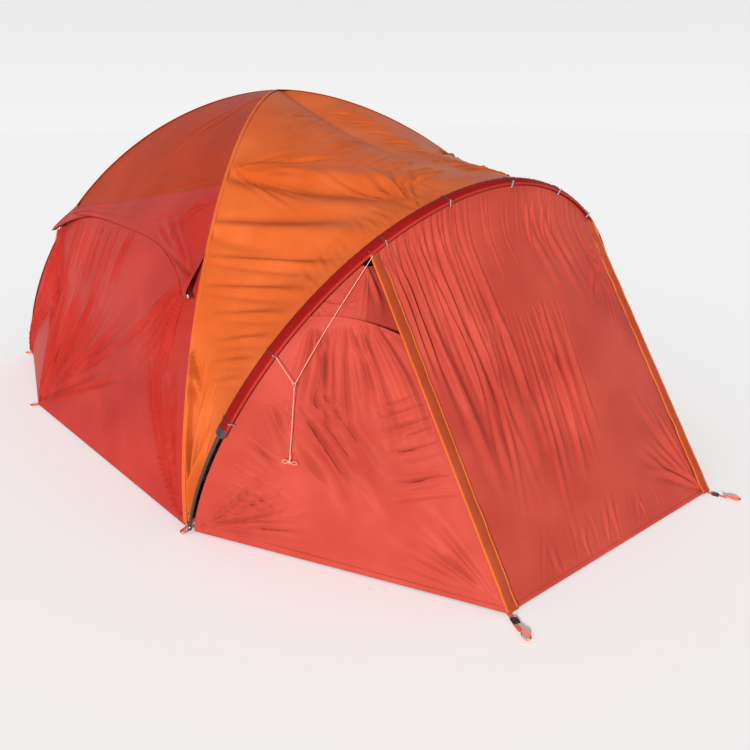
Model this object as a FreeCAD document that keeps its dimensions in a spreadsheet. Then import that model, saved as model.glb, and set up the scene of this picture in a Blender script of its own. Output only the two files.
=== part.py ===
"""Six-person dome tent with a rainfly and an arched front porch, pitched and closed.

Two long poles cross over a square floor. A third pole arches forward and holds the porch, and
three short brow poles hold the side and rear walls out under an eave. Each pole is tube
sections on a shock cord, joined by ferrules. X is across the tent, +Y is towards its back and
Z is up. The origin is on the ground at the middle of the whole outline. Sizes are millimetres.
"""
import FreeCAD
import Part
import math
import os
from FreeCAD import Placement, Rotation, Vector

DIMENSIONS = [
    ("body_width", 3000, "between the feet of the dome poles, across"),
    ("body_length", 3050, "between the feet of the dome poles, front to back"),
    ("peak_height", 1950, "ground to the top of the rainfly"),
    ("dome_plan_round", 1.806, "power that rounds a dome edge in plan"),
    ("dome_rise_round", 1.655, "power that rounds a dome edge in height"),
    ("arch_height", 1590, "foot to crown of the porch arch, in its own plane"),
    ("arch_lean", 16.9, "degrees that the arch leans forward"),
    ("arch_step", 40, "arch foot ahead of the dome foot"),
    ("arch_plan_round", 1.914, "power that rounds the arch across"),
    ("arch_rise_round", 1.743, "power that rounds the arch in height"),
    ("porch_depth", 1332, "dome feet to the porch's front hem"),
    ("porch_front", 1480, "width of the porch's front hem"),
    ("door_half_top", 738, "half the front door's width at the arch"),
    ("door_top_height", 1235, "top edge of the front door"),
    ("ridge_sag", 95, "dip of the ridge between peak and arch"),
    ("stake_out", 213, "how far a wall's middle peg point stands out"),
    ("side_stake_back", 420, "side peg point behind the middle of the body"),
    ("stake_rise", 720, "height where the pull of a middle peg point fades out"),
    ("fly_wall", 3, "thickness of every fabric stand-in"),
    ("seam_gap", 5, "fabric panel to the line where two panels meet"),
    ("hem_height", 6, "lower edge of the fabric above the ground"),
    ("brow_height", 1180, "height of the eave that a brow pole holds"),
    ("brow_end_height", 1000, "height of a brow pole's ends"),
    ("brow_out", 45, "side eave beyond the straight wall"),
    ("rear_brow_out", 120, "rear eave beyond the straight wall"),
    ("ear_out", 75, "an eave's ends beyond the straight wall"),
    ("brow_reach", 0.995, "brow pole's end, as a share of the way to the dome edge"),
    ("brow_clearance", 8, "brow pole to the hood's fabric"),
    ("wall_lap", 30, "wall's top edge above the hood's lower edge"),
    ("hood_front_height", 1470, "side hood's upper edge at the front pole"),
    ("hood_back_height", 1180, "side hood's upper edge at the back pole"),
    ("rear_hood_height", 1330, "rear hood's upper edge"),
    ("pole_diameter", 16, "outside of every pole tube"),
    ("pole_bore", 14, "inside of every pole tube"),
    ("ferrule_diameter", 12.6, "outside of the joining ferrules"),
    ("ferrule_bore", 9, "inside of the joining ferrules"),
    ("ferrule_length", 70, "length of a ferrule"),
    ("shock_cord", 3, "diameter of the elastic cord in a pole"),
    ("fly_clearance", 5, "fabric to pole"),
    ("foot_height", 26, "lower end of the tubes above the ground"),
    ("dome_sections", 13, "tube sections in a dome pole, an odd number so that none ends at the peak"),
    ("arch_sections", 9, "tube sections in the arch pole"),
    ("brow_sections", 5, "tube sections in a brow pole"),
    ("section_gap", 0.6, "gap between two tube ends"),
    ("sleeve_width", 60, "arch sleeve measured across the arch's plane"),
    ("sleeve_clearance", 3, "arch pole to its sleeve"),
    ("sleeve_start", 529, "height where the arch enters its sleeve"),
    ("toggle_diameter", 6, "thickness of a sleeve toggle"),
    ("toggle_length", 30, "length of a sleeve toggle"),
    ("panel_setback", 8, "fabric panel to the arch sleeve"),
    ("porch_lower_turn", 46, "turn on the arch where a porch wall's top edge begins"),
    ("porch_side_top", 963, "height of a porch wall's top edge at the door"),
    ("vent_recess", 60, "porch vent behind the wall's top edge"),
    ("zip_gap", 10, "fabric edge to the middle of a zip"),
    ("tip_collar", 4, "height of the collar under a pole tip"),
    ("tip_stem", 18, "length of a tip's stem in the tube"),
    ("tip_play", 0.6, "gap between a tip's stem and the tube"),
    ("tip_ball", 12, "diameter of a tip's ball"),
    ("socket_floor", 3, "floor under a tip's ball"),
    ("socket_depth", 7, "depth of the cup round a tip's ball"),
    ("socket_play", 0.5, "gap between a ball and its cup"),
    ("socket_wall", 3, "wall of the cup"),
    ("floor_side", 80, "floor's edge inside the dome feet"),
    ("tub_height", 150, "height of the floor's raised edge"),
    ("tub_wall", 3, "thickness of the floor"),
    ("inner_height", 1840, "peak of the inner tent"),
    ("inner_wall_top", 1500, "top of the flat front wall of the inner tent"),
    ("inner_door_width", 700, "inner door across"),
    ("inner_door_top", 1200, "height of the inner door's top"),
    ("door_sill", 60, "inner door's sill above the raised floor edge"),
    ("clips_per_leg", 5, "inner tent clips on each half of a dome pole"),
    ("door_play", 8, "gap round the inner door"),
    ("webbing_width", 20, "width of the peg straps"),
    ("webbing_thick", 2, "thickness of the webbing"),
    ("front_strap", 150, "front peg straps beyond the hem"),
    ("corner_loop", 90, "corner peg loops beyond the feet"),
    ("rear_strap", 100, "rear peg loop beyond the peg point"),
    ("zip_width", 8, "width of a zip's chain"),
    ("zip_thick", 2, "thickness of a zip's chain"),
    ("slider_width", 14, "zip slider across the chain"),
    ("slider_length", 18, "zip slider along the chain"),
    ("slider_height", 7, "zip slider through its thickness"),
    ("slider_play", 0.5, "gap between slider and chain"),
    ("flap_width", 65, "width of a storm flap"),
    ("flap_lift", 8, "storm flap above the door"),
    ("flap_lap", 18, "storm flap past the zip, over the porch wall"),
    ("guy_cord", 3, "diameter of the guy cords"),
    ("bow_lift", 14, "guy cord's bow above the porch wall"),
    ("ring_lift", 34, "guy cord's ring above the porch wall, for the cords to clear its top edge"),
    ("guy_ring", 14, "outside of the ring that gathers the guy cords"),
]

os.makedirs("parts", exist_ok=True)
doc = FreeCAD.newDocument("tent")
sheet = doc.addObject("Spreadsheet::Sheet", "dimensions")
for row, (alias, value, meaning) in enumerate(DIMENSIONS, start=1):
    sheet.set("A%d" % row, meaning)
    sheet.set("B%d" % row, str(value))
    sheet.setAlias("B%d" % row, alias)
doc.recompute()

size = {alias: float(sheet.get(alias)) for alias, value, meaning in DIMENSIONS}
nodes = []

UP = Vector(0, 0, 1)
LEFT, RIGHT = -1, 1
FRONT, BACK = -1, 1
half_width = size["body_width"] / 2
half_length = size["body_length"] / 2
front_reach = half_length + size["porch_depth"] + size["front_strap"]
rear_reach = half_length + size["stake_out"] + size["rear_strap"]
body_y = (front_reach - rear_reach) / 2


def node(label, shape):
    """A finished sub-part whose shape is computed here from the sheet's sizes."""
    feature = doc.addObject("Part::Feature", label)
    feature.Label = label
    feature.Shape = shape
    nodes.append(feature)
    return feature


def keep(feature, label):
    """A finished sub-part that the document builds by itself."""
    feature.Label = label
    nodes.append(feature)
    return feature


def mix(a, b, share):
    return a + (b - a) * share


def clamp(number):
    return max(0.0, min(1.0, number))


# ---------------------------------------------------------------- the tent's lines

def dome_share(height):
    """Distance of a dome edge from the centre line at a height, as a share of its foot."""
    rise = clamp(height / size["peak_height"]) ** (size["dome_rise_round"] / 2)
    return math.cos(math.asin(rise)) ** (2 / size["dome_plan_round"])


def dome_height(turn):
    return size["peak_height"] * math.sin(math.radians(turn)) ** (2 / size["dome_rise_round"])


def dome_edge(x_side, y_side, turn):
    """Point on the rainfly's edge over a dome pole: turn 0 at its foot, 90 at the peak."""
    share = abs(math.cos(math.radians(turn))) ** (2 / size["dome_plan_round"])
    return Vector(x_side * half_width * share, body_y + y_side * half_length * share, dome_height(turn))


def arch_point(x_side, turn):
    """Point on the arch pole's axis: turn 0 at its foot, 90 at the crown."""
    share = abs(math.cos(math.radians(turn))) ** (2 / size["arch_plan_round"])
    rise = size["arch_height"] * math.sin(math.radians(turn)) ** (2 / size["arch_rise_round"])
    lean = math.radians(size["arch_lean"])
    y = body_y - half_length - size["arch_step"] - rise * math.sin(lean)
    return Vector(x_side * half_width * share, y, rise * math.cos(lean))


def arch_turn_at_x(distance):
    """Turn at which the arch is this far from the middle."""
    return math.degrees(math.acos((distance / half_width) ** (size["arch_plan_round"] / 2)))


def spread(points, count):
    """The same line as count + 1 points evenly spaced along it."""
    lengths = [0.0]
    for a, b in zip(points, points[1:]):
        lengths.append(lengths[-1] + (b - a).Length)
    placed, index = [], 0
    for step in range(count + 1):
        wanted = lengths[-1] * step / count
        while index < len(points) - 2 and lengths[index + 1] < wanted:
            index += 1
        span = lengths[index + 1] - lengths[index]
        placed.append(mix(points[index], points[index + 1], (wanted - lengths[index]) / span))
    return placed


def inset_line(points, outward, distance):
    """The line moved inwards by a distance, in the upright plane that holds outward."""
    moved = []
    for index, point in enumerate(points):
        before = points[max(index - 1, 0)]
        after = points[min(index + 1, len(points) - 1)]
        along = (after - before).normalize()
        inward = along.cross(UP.cross(outward)).normalize()
        moved.append(point + inward * distance)
    return moved


def dome_axis(x_side, top_drop):
    """Axis of the dome pole that stands at the front on x_side, from front foot to back foot.

    It lies deeper than its radius because the two panels that meet over it form a corner.
    """
    fine = 180
    line = [dome_edge(x_side, FRONT, 90 * step / fine) for step in range(fine + 1)]
    line += [dome_edge(-x_side, BACK, 90 * step / fine) for step in range(fine - 1, -1, -1)]
    outward = Vector(x_side * half_width, -half_length, 0).normalize()
    depth = math.sqrt(2) * (size["fly_wall"] + size["fly_clearance"] + size["pole_diameter"] / 2)
    line = inset_line(line, outward, depth)
    squeeze = 1 - top_drop / size["peak_height"]
    line = [Vector(p.x, p.y, p.z * squeeze) for p in line]
    return [p for p in line if p.z >= size["foot_height"]]


def arch_axis():
    fine = 180
    line = [arch_point(LEFT, 90 * step / fine) for step in range(fine + 1)]
    line += [arch_point(RIGHT, 90 * step / fine) for step in range(fine - 1, -1, -1)]
    return [p for p in line if p.z >= size["foot_height"]]


# ---------------------------------------------------------------- solids along lines

def bent_rod(start, middle, end, radius, bore=0.0):
    """A rod or tube bent to a circular arc."""
    edge = Part.Arc(start, middle, end).toShape()
    normal = edge.tangentAt(edge.FirstParameter)
    rims = [Part.Wire(Part.makeCircle(radius, start, normal))]
    if bore:
        rims.append(Part.Wire(Part.makeCircle(bore, start, normal)))
    face = Part.makeFace(rims, "Part::FaceMakerBullseye")
    sweep = math.degrees(edge.LastParameter - edge.FirstParameter)
    return face.revolve(edge.Curve.Center, edge.Curve.Axis, sweep)


def jointed_tubes(axis, sections):
    """The tube sections and the ferrules of one pole."""
    stops = spread(axis, int(sections) * 2)
    radius, bore = size["pole_diameter"] / 2, size["pole_bore"] / 2
    tubes, ferrules = [], []
    for index in range(0, len(stops) - 1, 2):
        start, middle, end = stops[index:index + 3]
        trim = (end - start).normalize() * (size["section_gap"] / 2)
        tubes.append(bent_rod(start + trim, middle, end - trim, radius, bore))
    half = size["ferrule_length"] / 2
    for index in range(2, len(stops) - 2, 2):
        start, end = neighbours(axis, stops[index], half)
        ferrules.append(bent_rod(start, stops[index], end, size["ferrule_diameter"] / 2,
                                 size["ferrule_bore"] / 2))
    return tubes, ferrules


def neighbours(axis, place, distance):
    """The two points of a line that lie a distance before and after a place on it."""
    nearest = min(range(len(axis)), key=lambda k: (axis[k] - place).Length)
    before = max(k for k in range(nearest + 1) if (axis[k] - place).Length >= distance)
    after = min(k for k in range(nearest, len(axis)) if (axis[k] - place).Length >= distance)
    return (place + (axis[before] - place).normalize() * distance,
            place + (axis[after] - place).normalize() * distance)


def skin(rows, thickness, inward):
    """A sheet through a grid of points, thickened towards the inward side."""
    columns = len(rows[0])
    behind = []
    for i, line in enumerate(rows):
        back = []
        for j, point in enumerate(line):
            along = line[min(j + 1, columns - 1)] - line[max(j - 1, 0)]
            across = rows[min(i + 1, len(rows) - 1)][j] - rows[max(i - 1, 0)][j]
            normal = along.cross(across).normalize()
            if normal.dot(inward) < 0:
                normal = normal * -1
            back.append(point + normal * thickness)
        behind.append(back)
    faces = []
    for grid in (rows, behind):
        surface = Part.BSplineSurface()
        surface.interpolate(grid)
        faces.append(surface)
    edges = []
    for surface in faces:
        u_first, u_last, v_first, v_last = surface.bounds()
        edges.append([
            surface.uIso(u_first).toShape(),
            surface.uIso(u_last).toShape(),
            surface.vIso(v_first).toShape(),
            surface.vIso(v_last).toShape(),
        ])
    sides = [Part.makeRuledSurface(front, back) for front, back in zip(*edges)]
    shell = Part.makeShell([faces[0].toShape(), faces[1].toShape()] + sides)
    shell.sewShape()
    solid = Part.makeSolid(shell)
    if solid.Volume < 0:
        solid.reverse()
    return solid


def grid(point_at, across, up):
    """Rows of points from a function of two shares."""
    return [[point_at(i / across, j / up) for i in range(across + 1)] for j in range(up + 1)]


def mirrored(shape):
    """The same piece on the right of the tent."""
    return shape.mirror(Vector(0, 0, 0), Vector(1, 0, 0))


def both_sides(name, shape):
    node(name + "_left", shape)
    node(name + "_right", mirrored(shape))


# ---------------------------------------------------------------- poles

crossing_drop = size["pole_diameter"] + 2
axis_a = dome_axis(LEFT, 0)
axis_b = dome_axis(RIGHT, crossing_drop)
axis_arch = arch_axis()


def left_frame(along, height, out):
    """Point on the left side: along is a share of its half length, out is away from the tent."""
    share = dome_share(height)
    return Vector(-half_width * share - out, body_y + along * half_length * share, height)


def rear_frame(along, height, out):
    """Point on the rear side."""
    share = dome_share(height)
    return Vector(along * half_width * share, body_y + half_length * share + out, height)


def eave_height(along):
    """Lower edge of a hood: level over the middle, dropping to the ears."""
    return mix(size["brow_height"], size["brow_end_height"], abs(along) ** 4)


def eave_out(along, middle_out):
    return mix(middle_out, size["ear_out"], abs(along) ** 4)


def brow_axis(frame, middle_out):
    """Axis of a brow pole, just inside the lower edge of its hood."""
    depth = size["fly_wall"] + size["brow_clearance"] + size["pole_diameter"] / 2
    fine = 120
    line = []
    for step in range(fine + 1):
        along = size["brow_reach"] * (-1 + 2 * step / fine)
        height = eave_height(along) + size["pole_diameter"] / 2
        line.append(frame(along, height, eave_out(along, middle_out) - depth))
    return line


axis_side_brow = brow_axis(left_frame, size["brow_out"])
axis_rear_brow = brow_axis(rear_frame, size["rear_brow_out"])

poles = [
    ("dome_pole_a", axis_a, size["dome_sections"]),
    ("dome_pole_b", axis_b, size["dome_sections"]),
    ("arch_pole", axis_arch, size["arch_sections"]),
    ("brow_pole_left", axis_side_brow, size["brow_sections"]),
    ("brow_pole_right", [Vector(-p.x, p.y, p.z) for p in axis_side_brow], size["brow_sections"]),
    ("brow_pole_rear", axis_rear_brow, size["brow_sections"]),
]
all_ferrules, shock_cords = [], []
past_tip = size["tip_stem"] + 6
for name, axis, sections in poles:
    tubes, ferrules = jointed_tubes(axis, sections)
    node(name, Part.makeCompound(tubes))
    all_ferrules += ferrules
    stops = spread(axis, int(sections) * 2)
    for index in range(0, len(stops) - 1, 2):
        start, middle, end = stops[index:index + 3]
        along = (end - start).normalize()
        start = start + along * (past_tip if index == 0 else size["section_gap"] / 2)
        end = end - along * (past_tip if index == len(stops) - 3 else size["section_gap"] / 2)
        shock_cords.append(bent_rod(start, middle, end, size["shock_cord"] / 2))
node("pole_ferrules", Part.makeCompound(all_ferrules))
node("shock_cords", Part.makeCompound(shock_cords))

# A pole tip: a stem in the tube, a collar under its end and a ball below.
tip_body = doc.addObject("PartDesign::Body", "pole_tip")
profile = tip_body.newObject("Sketcher::SketchObject", "tip_profile")
xz_plane = [f for f in tip_body.Origin.OriginFeatures if f.Role == "XZ_Plane"][0]
profile.AttachmentSupport = [(xz_plane, "")]
profile.MapMode = "FlatFace"


def tip_outline():
    stem_radius = size["pole_bore"] / 2 - size["tip_play"]
    collar_radius = size["pole_diameter"] / 2
    ball_radius = size["tip_ball"] / 2
    neck_radius = 3.5
    collar = size["tip_collar"]
    ball_centre = -collar - ball_radius - 2
    neck_drop = math.sqrt(ball_radius ** 2 - neck_radius ** 2)
    points = [
        Vector(0, size["tip_stem"], 0),
        Vector(stem_radius, size["tip_stem"], 0),
        Vector(stem_radius, 0, 0),
        Vector(collar_radius, 0, 0),
        Vector(collar_radius, -collar, 0),
        Vector(neck_radius, -collar, 0),
        Vector(neck_radius, ball_centre + neck_drop, 0),
    ]
    for a, b in zip(points, points[1:]):
        profile.addGeometry(Part.LineSegment(a, b), False)
    waist = Vector(ball_radius, ball_centre, 0)
    base = Vector(0, ball_centre - ball_radius, 0)
    profile.addGeometry(Part.Arc(points[-1], waist, base), False)
    profile.addGeometry(Part.LineSegment(base, points[0]), False)
    return ball_centre - ball_radius


tip_low = tip_outline()
turned = tip_body.newObject("PartDesign::Revolution", "tip_turned")
turned.Profile = profile
turned.ReferenceAxis = (profile, ["V_Axis"])
turned.Angle = 360
doc.recompute()


def tube_ends(axis):
    """Both ends of a pole, each with the direction into its tube."""
    return [(end, inner - end) for end, inner in ((axis[0], axis[2]), (axis[-1], axis[-3]))]


tips = []
for name, axis, sections in poles:
    for end, into_tube in tube_ends(axis):
        tip = tip_body.Shape.copy()
        tip.Placement = Placement(end, Rotation(UP, into_tube))
        tips.append(tip)
node("pole_tips", Part.makeCompound(tips))

# The crossing clip at the peak: a block with two crossed channels, one pole above the other.
top_a = max(axis_a, key=lambda p: p.z)
top_b = max(axis_b, key=lambda p: p.z)
clip_block = doc.addObject("Part::Box", "crossing_block")
clip_block.Length = clip_block.Width = 46
clip_block.Height = top_a.z - top_b.z + size["pole_diameter"] + 4
clip_block.Placement = Placement(Vector(-23, body_y - 23, top_b.z - size["pole_diameter"] / 2 - 6), Rotation())
rounded = doc.addObject("Part::Fillet", "crossing_rounded")
rounded.Base = clip_block
rounded.Edges = [(index, 8.0, 8.0) for index in (1, 3, 5, 7)]
channels = []
for label, top, slope in (("upper", top_a, half_length), ("lower", top_b, -half_length)):
    channel = doc.addObject("Part::Cylinder", "crossing_channel_" + label)
    channel.Radius = size["pole_diameter"] / 2 + 1.2
    channel.Height = 160
    along = Vector(half_width, slope, 0).normalize()
    channel.Placement = Placement(Vector(0, body_y, top.z) - along * 80, Rotation(UP, along))
    channels.append(channel)
both_channels = doc.addObject("Part::MultiFuse", "crossing_channels")
both_channels.Shapes = channels
crossing = doc.addObject("Part::Cut", "pole_crossing_clip")
crossing.Base = rounded
crossing.Tool = both_channels
keep(crossing, "pole_crossing_clip")


# ---------------------------------------------------------------- feet, floor and inner tent

def ball_places():
    """Centres of the balls on the six feet that stand on the ground."""
    places = []
    for axis in (axis_arch, axis_a, axis_b):
        for end, into_tube in tube_ends(axis):
            places.append(end + into_tube.normalize() * (tip_low + size["tip_ball"] / 2))
    return places


def foot_socket(ball):
    """A cup that holds the ball of a pole tip."""
    radius = size["tip_ball"] / 2 + size["socket_play"]
    floor_top = Vector(ball.x, ball.y, ball.z - radius)
    base = floor_top - UP * size["socket_floor"]
    height = size["socket_floor"] + size["socket_depth"]
    outer = Part.makeCylinder(radius + size["socket_wall"], height, base)
    return outer.cut(Part.makeCylinder(radius, height, floor_top))


node("foot_sockets", Part.makeCompound([foot_socket(ball) for ball in ball_places()]))

tub_outer = doc.addObject("Part::Box", "tub_outer")
tub_outer.setExpression("Length", "dimensions.body_width - 2 * dimensions.floor_side")
tub_outer.setExpression("Width", "dimensions.body_length - 2 * dimensions.floor_side")
tub_outer.setExpression("Height", "dimensions.tub_height")
tub_inner = doc.addObject("Part::Box", "tub_inner")
tub_inner.setExpression("Length", "dimensions.body_width - 2 * dimensions.floor_side - 2 * dimensions.tub_wall")
tub_inner.setExpression("Width", "dimensions.body_length - 2 * dimensions.floor_side - 2 * dimensions.tub_wall")
tub_inner.setExpression("Height", "dimensions.tub_height")
tub_half_width = half_width - size["floor_side"]
tub_half_length = half_length - size["floor_side"]
tub_outer.Placement = Placement(Vector(-tub_half_width, body_y - tub_half_length, 0), Rotation())
wall = size["tub_wall"]
tub_inner.Placement = Placement(tub_outer.Placement.Base + Vector(wall, wall, wall), Rotation())
tub = doc.addObject("Part::Cut", "floor_tub")
tub.Base = tub_outer
tub.Tool = tub_inner
keep(tub, "floor_tub")


def inner_share(height):
    return dome_share(height * size["peak_height"] / size["inner_height"])


def inner_panel(frame, low, high):
    """A panel of the inner tent between two heights, up to its corner edges."""
    steps = 10
    rows = []
    for j in range(steps + 1):
        height = mix(low, high, math.sin(math.pi / 2 * j / steps))
        share = inner_share(height)
        limit = 1 - size["seam_gap"] / (tub_half_width * share)
        rows.append([frame(mix(-limit, limit, i / 4) * share, share, height) for i in range(5)])
    return skin(rows, size["fly_wall"], Vector(0, body_y, 0) - frame(0, 1, 0))


def inner_left(along, share, height):
    return Vector(-tub_half_width * share, body_y + along * tub_half_length, height)


def inner_rear(along, share, height):
    return Vector(along * tub_half_width, body_y + tub_half_length * share, height)


def inner_front(along, share, height):
    return Vector(along * tub_half_width, body_y - tub_half_length * share, height)


inner_low = size["tub_height"] + size["seam_gap"]
inner_high = 0.985 * size["inner_height"]
both_sides("inner_wall", inner_panel(inner_left, inner_low, inner_high))
node("inner_wall_rear", inner_panel(inner_rear, inner_low, inner_high))
node("inner_roof_front", inner_panel(inner_front, size["inner_wall_top"] + size["seam_gap"], inner_high))


def plate(corners, direction, thickness):
    """A flat sheet with the given outline, thickened one way."""
    face = Part.Face(Part.makePolygon(corners + [corners[0]]))
    return face.extrude(direction * thickness)


wall_foot = inner_front(0, inner_share(inner_low), inner_low)
wall_head = inner_front(0, inner_share(size["inner_wall_top"]), size["inner_wall_top"])
wall_up = (wall_head - wall_foot).normalize()
wall_in = wall_up.cross(Vector(-1, 0, 0)).normalize()
if wall_in.y < 0:
    wall_in = wall_in * -1


def on_front_wall(x, height):
    """Point on the flat front wall of the inner tent."""
    return Vector(x, 0, 0) + mix(wall_foot, wall_head, (height - wall_foot.z) / (wall_head.z - wall_foot.z))


def front_wall_outline():
    lower = tub_half_width * inner_share(inner_low) - size["seam_gap"]
    upper = tub_half_width * inner_share(size["inner_wall_top"]) - size["seam_gap"]
    high = size["inner_wall_top"]
    return [on_front_wall(-lower, inner_low), on_front_wall(lower, inner_low),
            on_front_wall(upper, high), on_front_wall(-upper, high)]


def doorway(margin):
    """Outline of the inner doorway, less a margin all round."""
    half = size["inner_door_width"] / 2 - margin
    low = inner_low + size["door_sill"] + margin
    high = size["inner_door_top"] - margin
    shoulder = high - half / 2
    narrow = half / 2
    return [on_front_wall(-half, low), on_front_wall(half, low), on_front_wall(half, shoulder),
            on_front_wall(narrow, high), on_front_wall(-narrow, high), on_front_wall(-half, shoulder)]


front_wall = plate(front_wall_outline(), wall_in, size["fly_wall"])
front_wall = front_wall.cut(plate([p - wall_in for p in doorway(0)], wall_in, size["fly_wall"] + 2))
node("inner_wall_front", front_wall)
node("inner_door", plate(doorway(size["door_play"]), wall_in, size["fly_wall"]))


def bar(start, end, outward, width, thickness):
    """A flat bar between two points: thickness along outward, width across it."""
    along = (end - start).normalize()
    side = along.cross(outward).normalize()
    corner = start - side * (width / 2) - outward * (thickness / 2)
    corners = [corner, corner + side * width, corner + side * width + outward * thickness,
               corner + outward * thickness]
    return Part.Face(Part.makePolygon(corners + [corners[0]])).extrude(end - start)


def slider(place, along, outward):
    """A zip slider round its chain, with a pull tab lying along it."""
    play = size["slider_play"]
    half = along * (size["slider_length"] / 2)
    body = bar(place - half, place + half, outward, size["slider_width"], size["slider_height"])
    channel = bar(place - half * 2, place + half * 2, outward, size["zip_width"] + 2 * play,
                  size["zip_thick"] + 2 * play)
    body = body.cut(channel)
    tab_lift = outward * (size["slider_height"] / 2 - 0.6)
    tab = bar(place - half + tab_lift, place - half * 4 + tab_lift, outward, 6, 1.2)
    return body.fuse(tab)


zip_out = wall_in * -1
zip_x = size["inner_door_width"] / 2 - size["door_play"] - size["slider_width"]
zip_lift = zip_out * (size["slider_height"] / 2 + 1)
zip_low = inner_low + size["door_sill"] + 2 * size["door_play"]
zip_high = size["inner_door_top"] - size["inner_door_width"] / 4 - 2 * size["door_play"]
node("inner_zip_chain", bar(on_front_wall(zip_x, zip_low) + zip_lift,
                            on_front_wall(zip_x, zip_high) + zip_lift,
                            zip_out, size["zip_width"], size["zip_thick"]))
slider_at = zip_low + 4 * size["slider_length"]
node("inner_zip_slider", slider(on_front_wall(zip_x, slider_at) + zip_lift, wall_up, zip_out))


def clip_and_strap(axis, share, inner_edge):
    """A clip round a dome pole and the strap from it to the inner tent's edge."""
    index = int(share * (len(axis) - 1))
    place = axis[index]
    along = (axis[index + 1] - axis[index - 1]).normalize()
    radius = size["pole_diameter"] / 2 + 1
    length = 24
    start = place - along * (length / 2)
    ring = Part.makeCylinder(radius + 3, length, start, along)
    ring = ring.cut(Part.makeCylinder(radius, length, start, along))
    edge = inner_edge(place)
    down = (edge - place)
    down = (down - along * down.dot(along))
    reach = down.Length
    down = down.normalize()
    top = place + down * (radius + 3.3)
    end = place + down * (reach - size["seam_gap"])
    strap = bar(top, end, along.cross(down).normalize(), 20, 2)
    return ring, strap


def inner_edge_below(place):
    """Point on the inner tent's corner edge that is nearest a place on a dome pole."""
    x_side = RIGHT if place.x > 0 else LEFT
    y_side = BACK if place.y > body_y else FRONT
    best = None
    for step in range(200):
        height = mix(inner_low, inner_high, step / 199)
        share = inner_share(height)
        point = Vector(x_side * tub_half_width * share, body_y + y_side * tub_half_length * share, height)
        if best is None or (point - place).Length < (best - place).Length:
            best = point
    return best


rings, straps = [], []
clips = int(size["clips_per_leg"])
for axis in (axis_a, axis_b):
    fine_axis = spread(axis, 400)
    for leg in range(2):
        for step in range(clips):
            share = 0.5 * leg + 0.5 * mix(0.1, 0.86, step / (clips - 1))
            if leg:
                share = 1.5 - share
            ring, strap = clip_and_strap(fine_axis, share, inner_edge_below)
            rings.append(ring)
            straps.append(strap)
node("inner_tent_clips", Part.makeCompound(rings))
node("clip_straps", Part.makeCompound(straps))


# ---------------------------------------------------------------- rainfly over the dome

def panel_rows(frame, start, end, low_of, high_of, out_of, across, up):
    """Grid of a fly panel between two shares along a side and two heights."""
    rows = []
    for j in range(up + 1):
        line = []
        for i in range(across + 1):
            along = mix(start, end, i / across)
            low, high = low_of(along), high_of(along)
            height = mix(low, high, math.sin(math.pi / 2 * j / up))
            edge = size["seam_gap"] / (half_width * dome_share(height))
            place = along * (1 - edge) if abs(along) == 1 else along
            line.append(frame(place, height, out_of(along, height)))
        rows.append(line)
    return rows


def toward_middle(frame):
    return Vector(0, body_y, 0) - frame(0, 0, 0)


roof_top = dome_height(88)
gap = size["seam_gap"]


def side_hood_top(along):
    return mix(size["hood_front_height"], size["hood_back_height"], (along + 1) / 2)


def rear_hood_top(along):
    return size["rear_hood_height"]


def flush(along, height):
    return 0.0


def roof_panel(frame, hood_top):
    rows = panel_rows(frame, -1, 1, lambda a: hood_top(a) + gap, lambda a: roof_top, flush, 10, 10)
    return skin(rows, size["fly_wall"], toward_middle(frame))


def hood_panel(frame, hood_top, middle_out):
    """Eave under the roof panel: flush with it above, standing out below."""
    def out(along, height):
        low, high = eave_height(along), hood_top(along)
        return eave_out(along, middle_out) * (1 - ((height - low) / (high - low)) ** 2)

    rows = panel_rows(frame, -1, 1, eave_height, lambda a: hood_top(a) - gap, out, 16, 6)
    return skin(rows, size["fly_wall"], toward_middle(frame))


def wall_panel(frame, start, end, peg):
    """Part of a wall from a corner to the line above the middle peg point."""
    def out(along, height):
        pull = clamp(1 - height / size["stake_rise"]) ** 1.5
        reach = 1 - abs(along - peg) / (1 + peg if along < peg else 1 - peg)
        return size["stake_out"] * pull * reach

    def top(along):
        return eave_height(along) + size["wall_lap"]

    rows = panel_rows(frame, start, end, lambda a: size["hem_height"], top, out, 8, 10)
    return skin(rows, size["fly_wall"], toward_middle(frame))


side_peg = size["side_stake_back"] / half_length
split = gap / 2 / half_length
both_sides("fly_roof", roof_panel(left_frame, side_hood_top))
node("fly_roof_rear", roof_panel(rear_frame, rear_hood_top))
both_sides("hood", hood_panel(left_frame, side_hood_top, size["brow_out"]))
node("hood_rear", hood_panel(rear_frame, rear_hood_top, size["rear_brow_out"]))
both_sides("fly_wall_front", wall_panel(left_frame, -1, side_peg - split, side_peg))
both_sides("fly_wall_back", wall_panel(left_frame, side_peg + split, 1, side_peg))
rear_wall = wall_panel(rear_frame, -1, -split, 0)
node("fly_wall_rear", Part.makeCompound([rear_wall, mirrored(rear_wall)]))

# ---------------------------------------------------------------- porch

lean = math.radians(size["arch_lean"])
arch_back = Vector(0, math.cos(lean), math.sin(lean))
sleeve_wall = size["fly_wall"]
sleeve_inner = size["pole_diameter"] / 2 + size["sleeve_clearance"]
sleeve_outer = sleeve_inner + sleeve_wall


def arch_offset(x_side, turn, inward, back):
    """Point beside the arch's axis: inward in the arch's plane and back across it."""
    before = arch_point(x_side, max(turn - 0.5, 0))
    after = arch_point(x_side, min(turn + 0.5, 90))
    along = (after - before).normalize()
    radial = along.cross(arch_back).normalize()
    centre = Vector(0, arch_point(x_side, turn).y, 0)
    if radial.dot(centre - arch_point(x_side, turn)) < 0:
        radial = radial * -1
    return arch_point(x_side, turn) + radial * inward + arch_back * back


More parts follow.
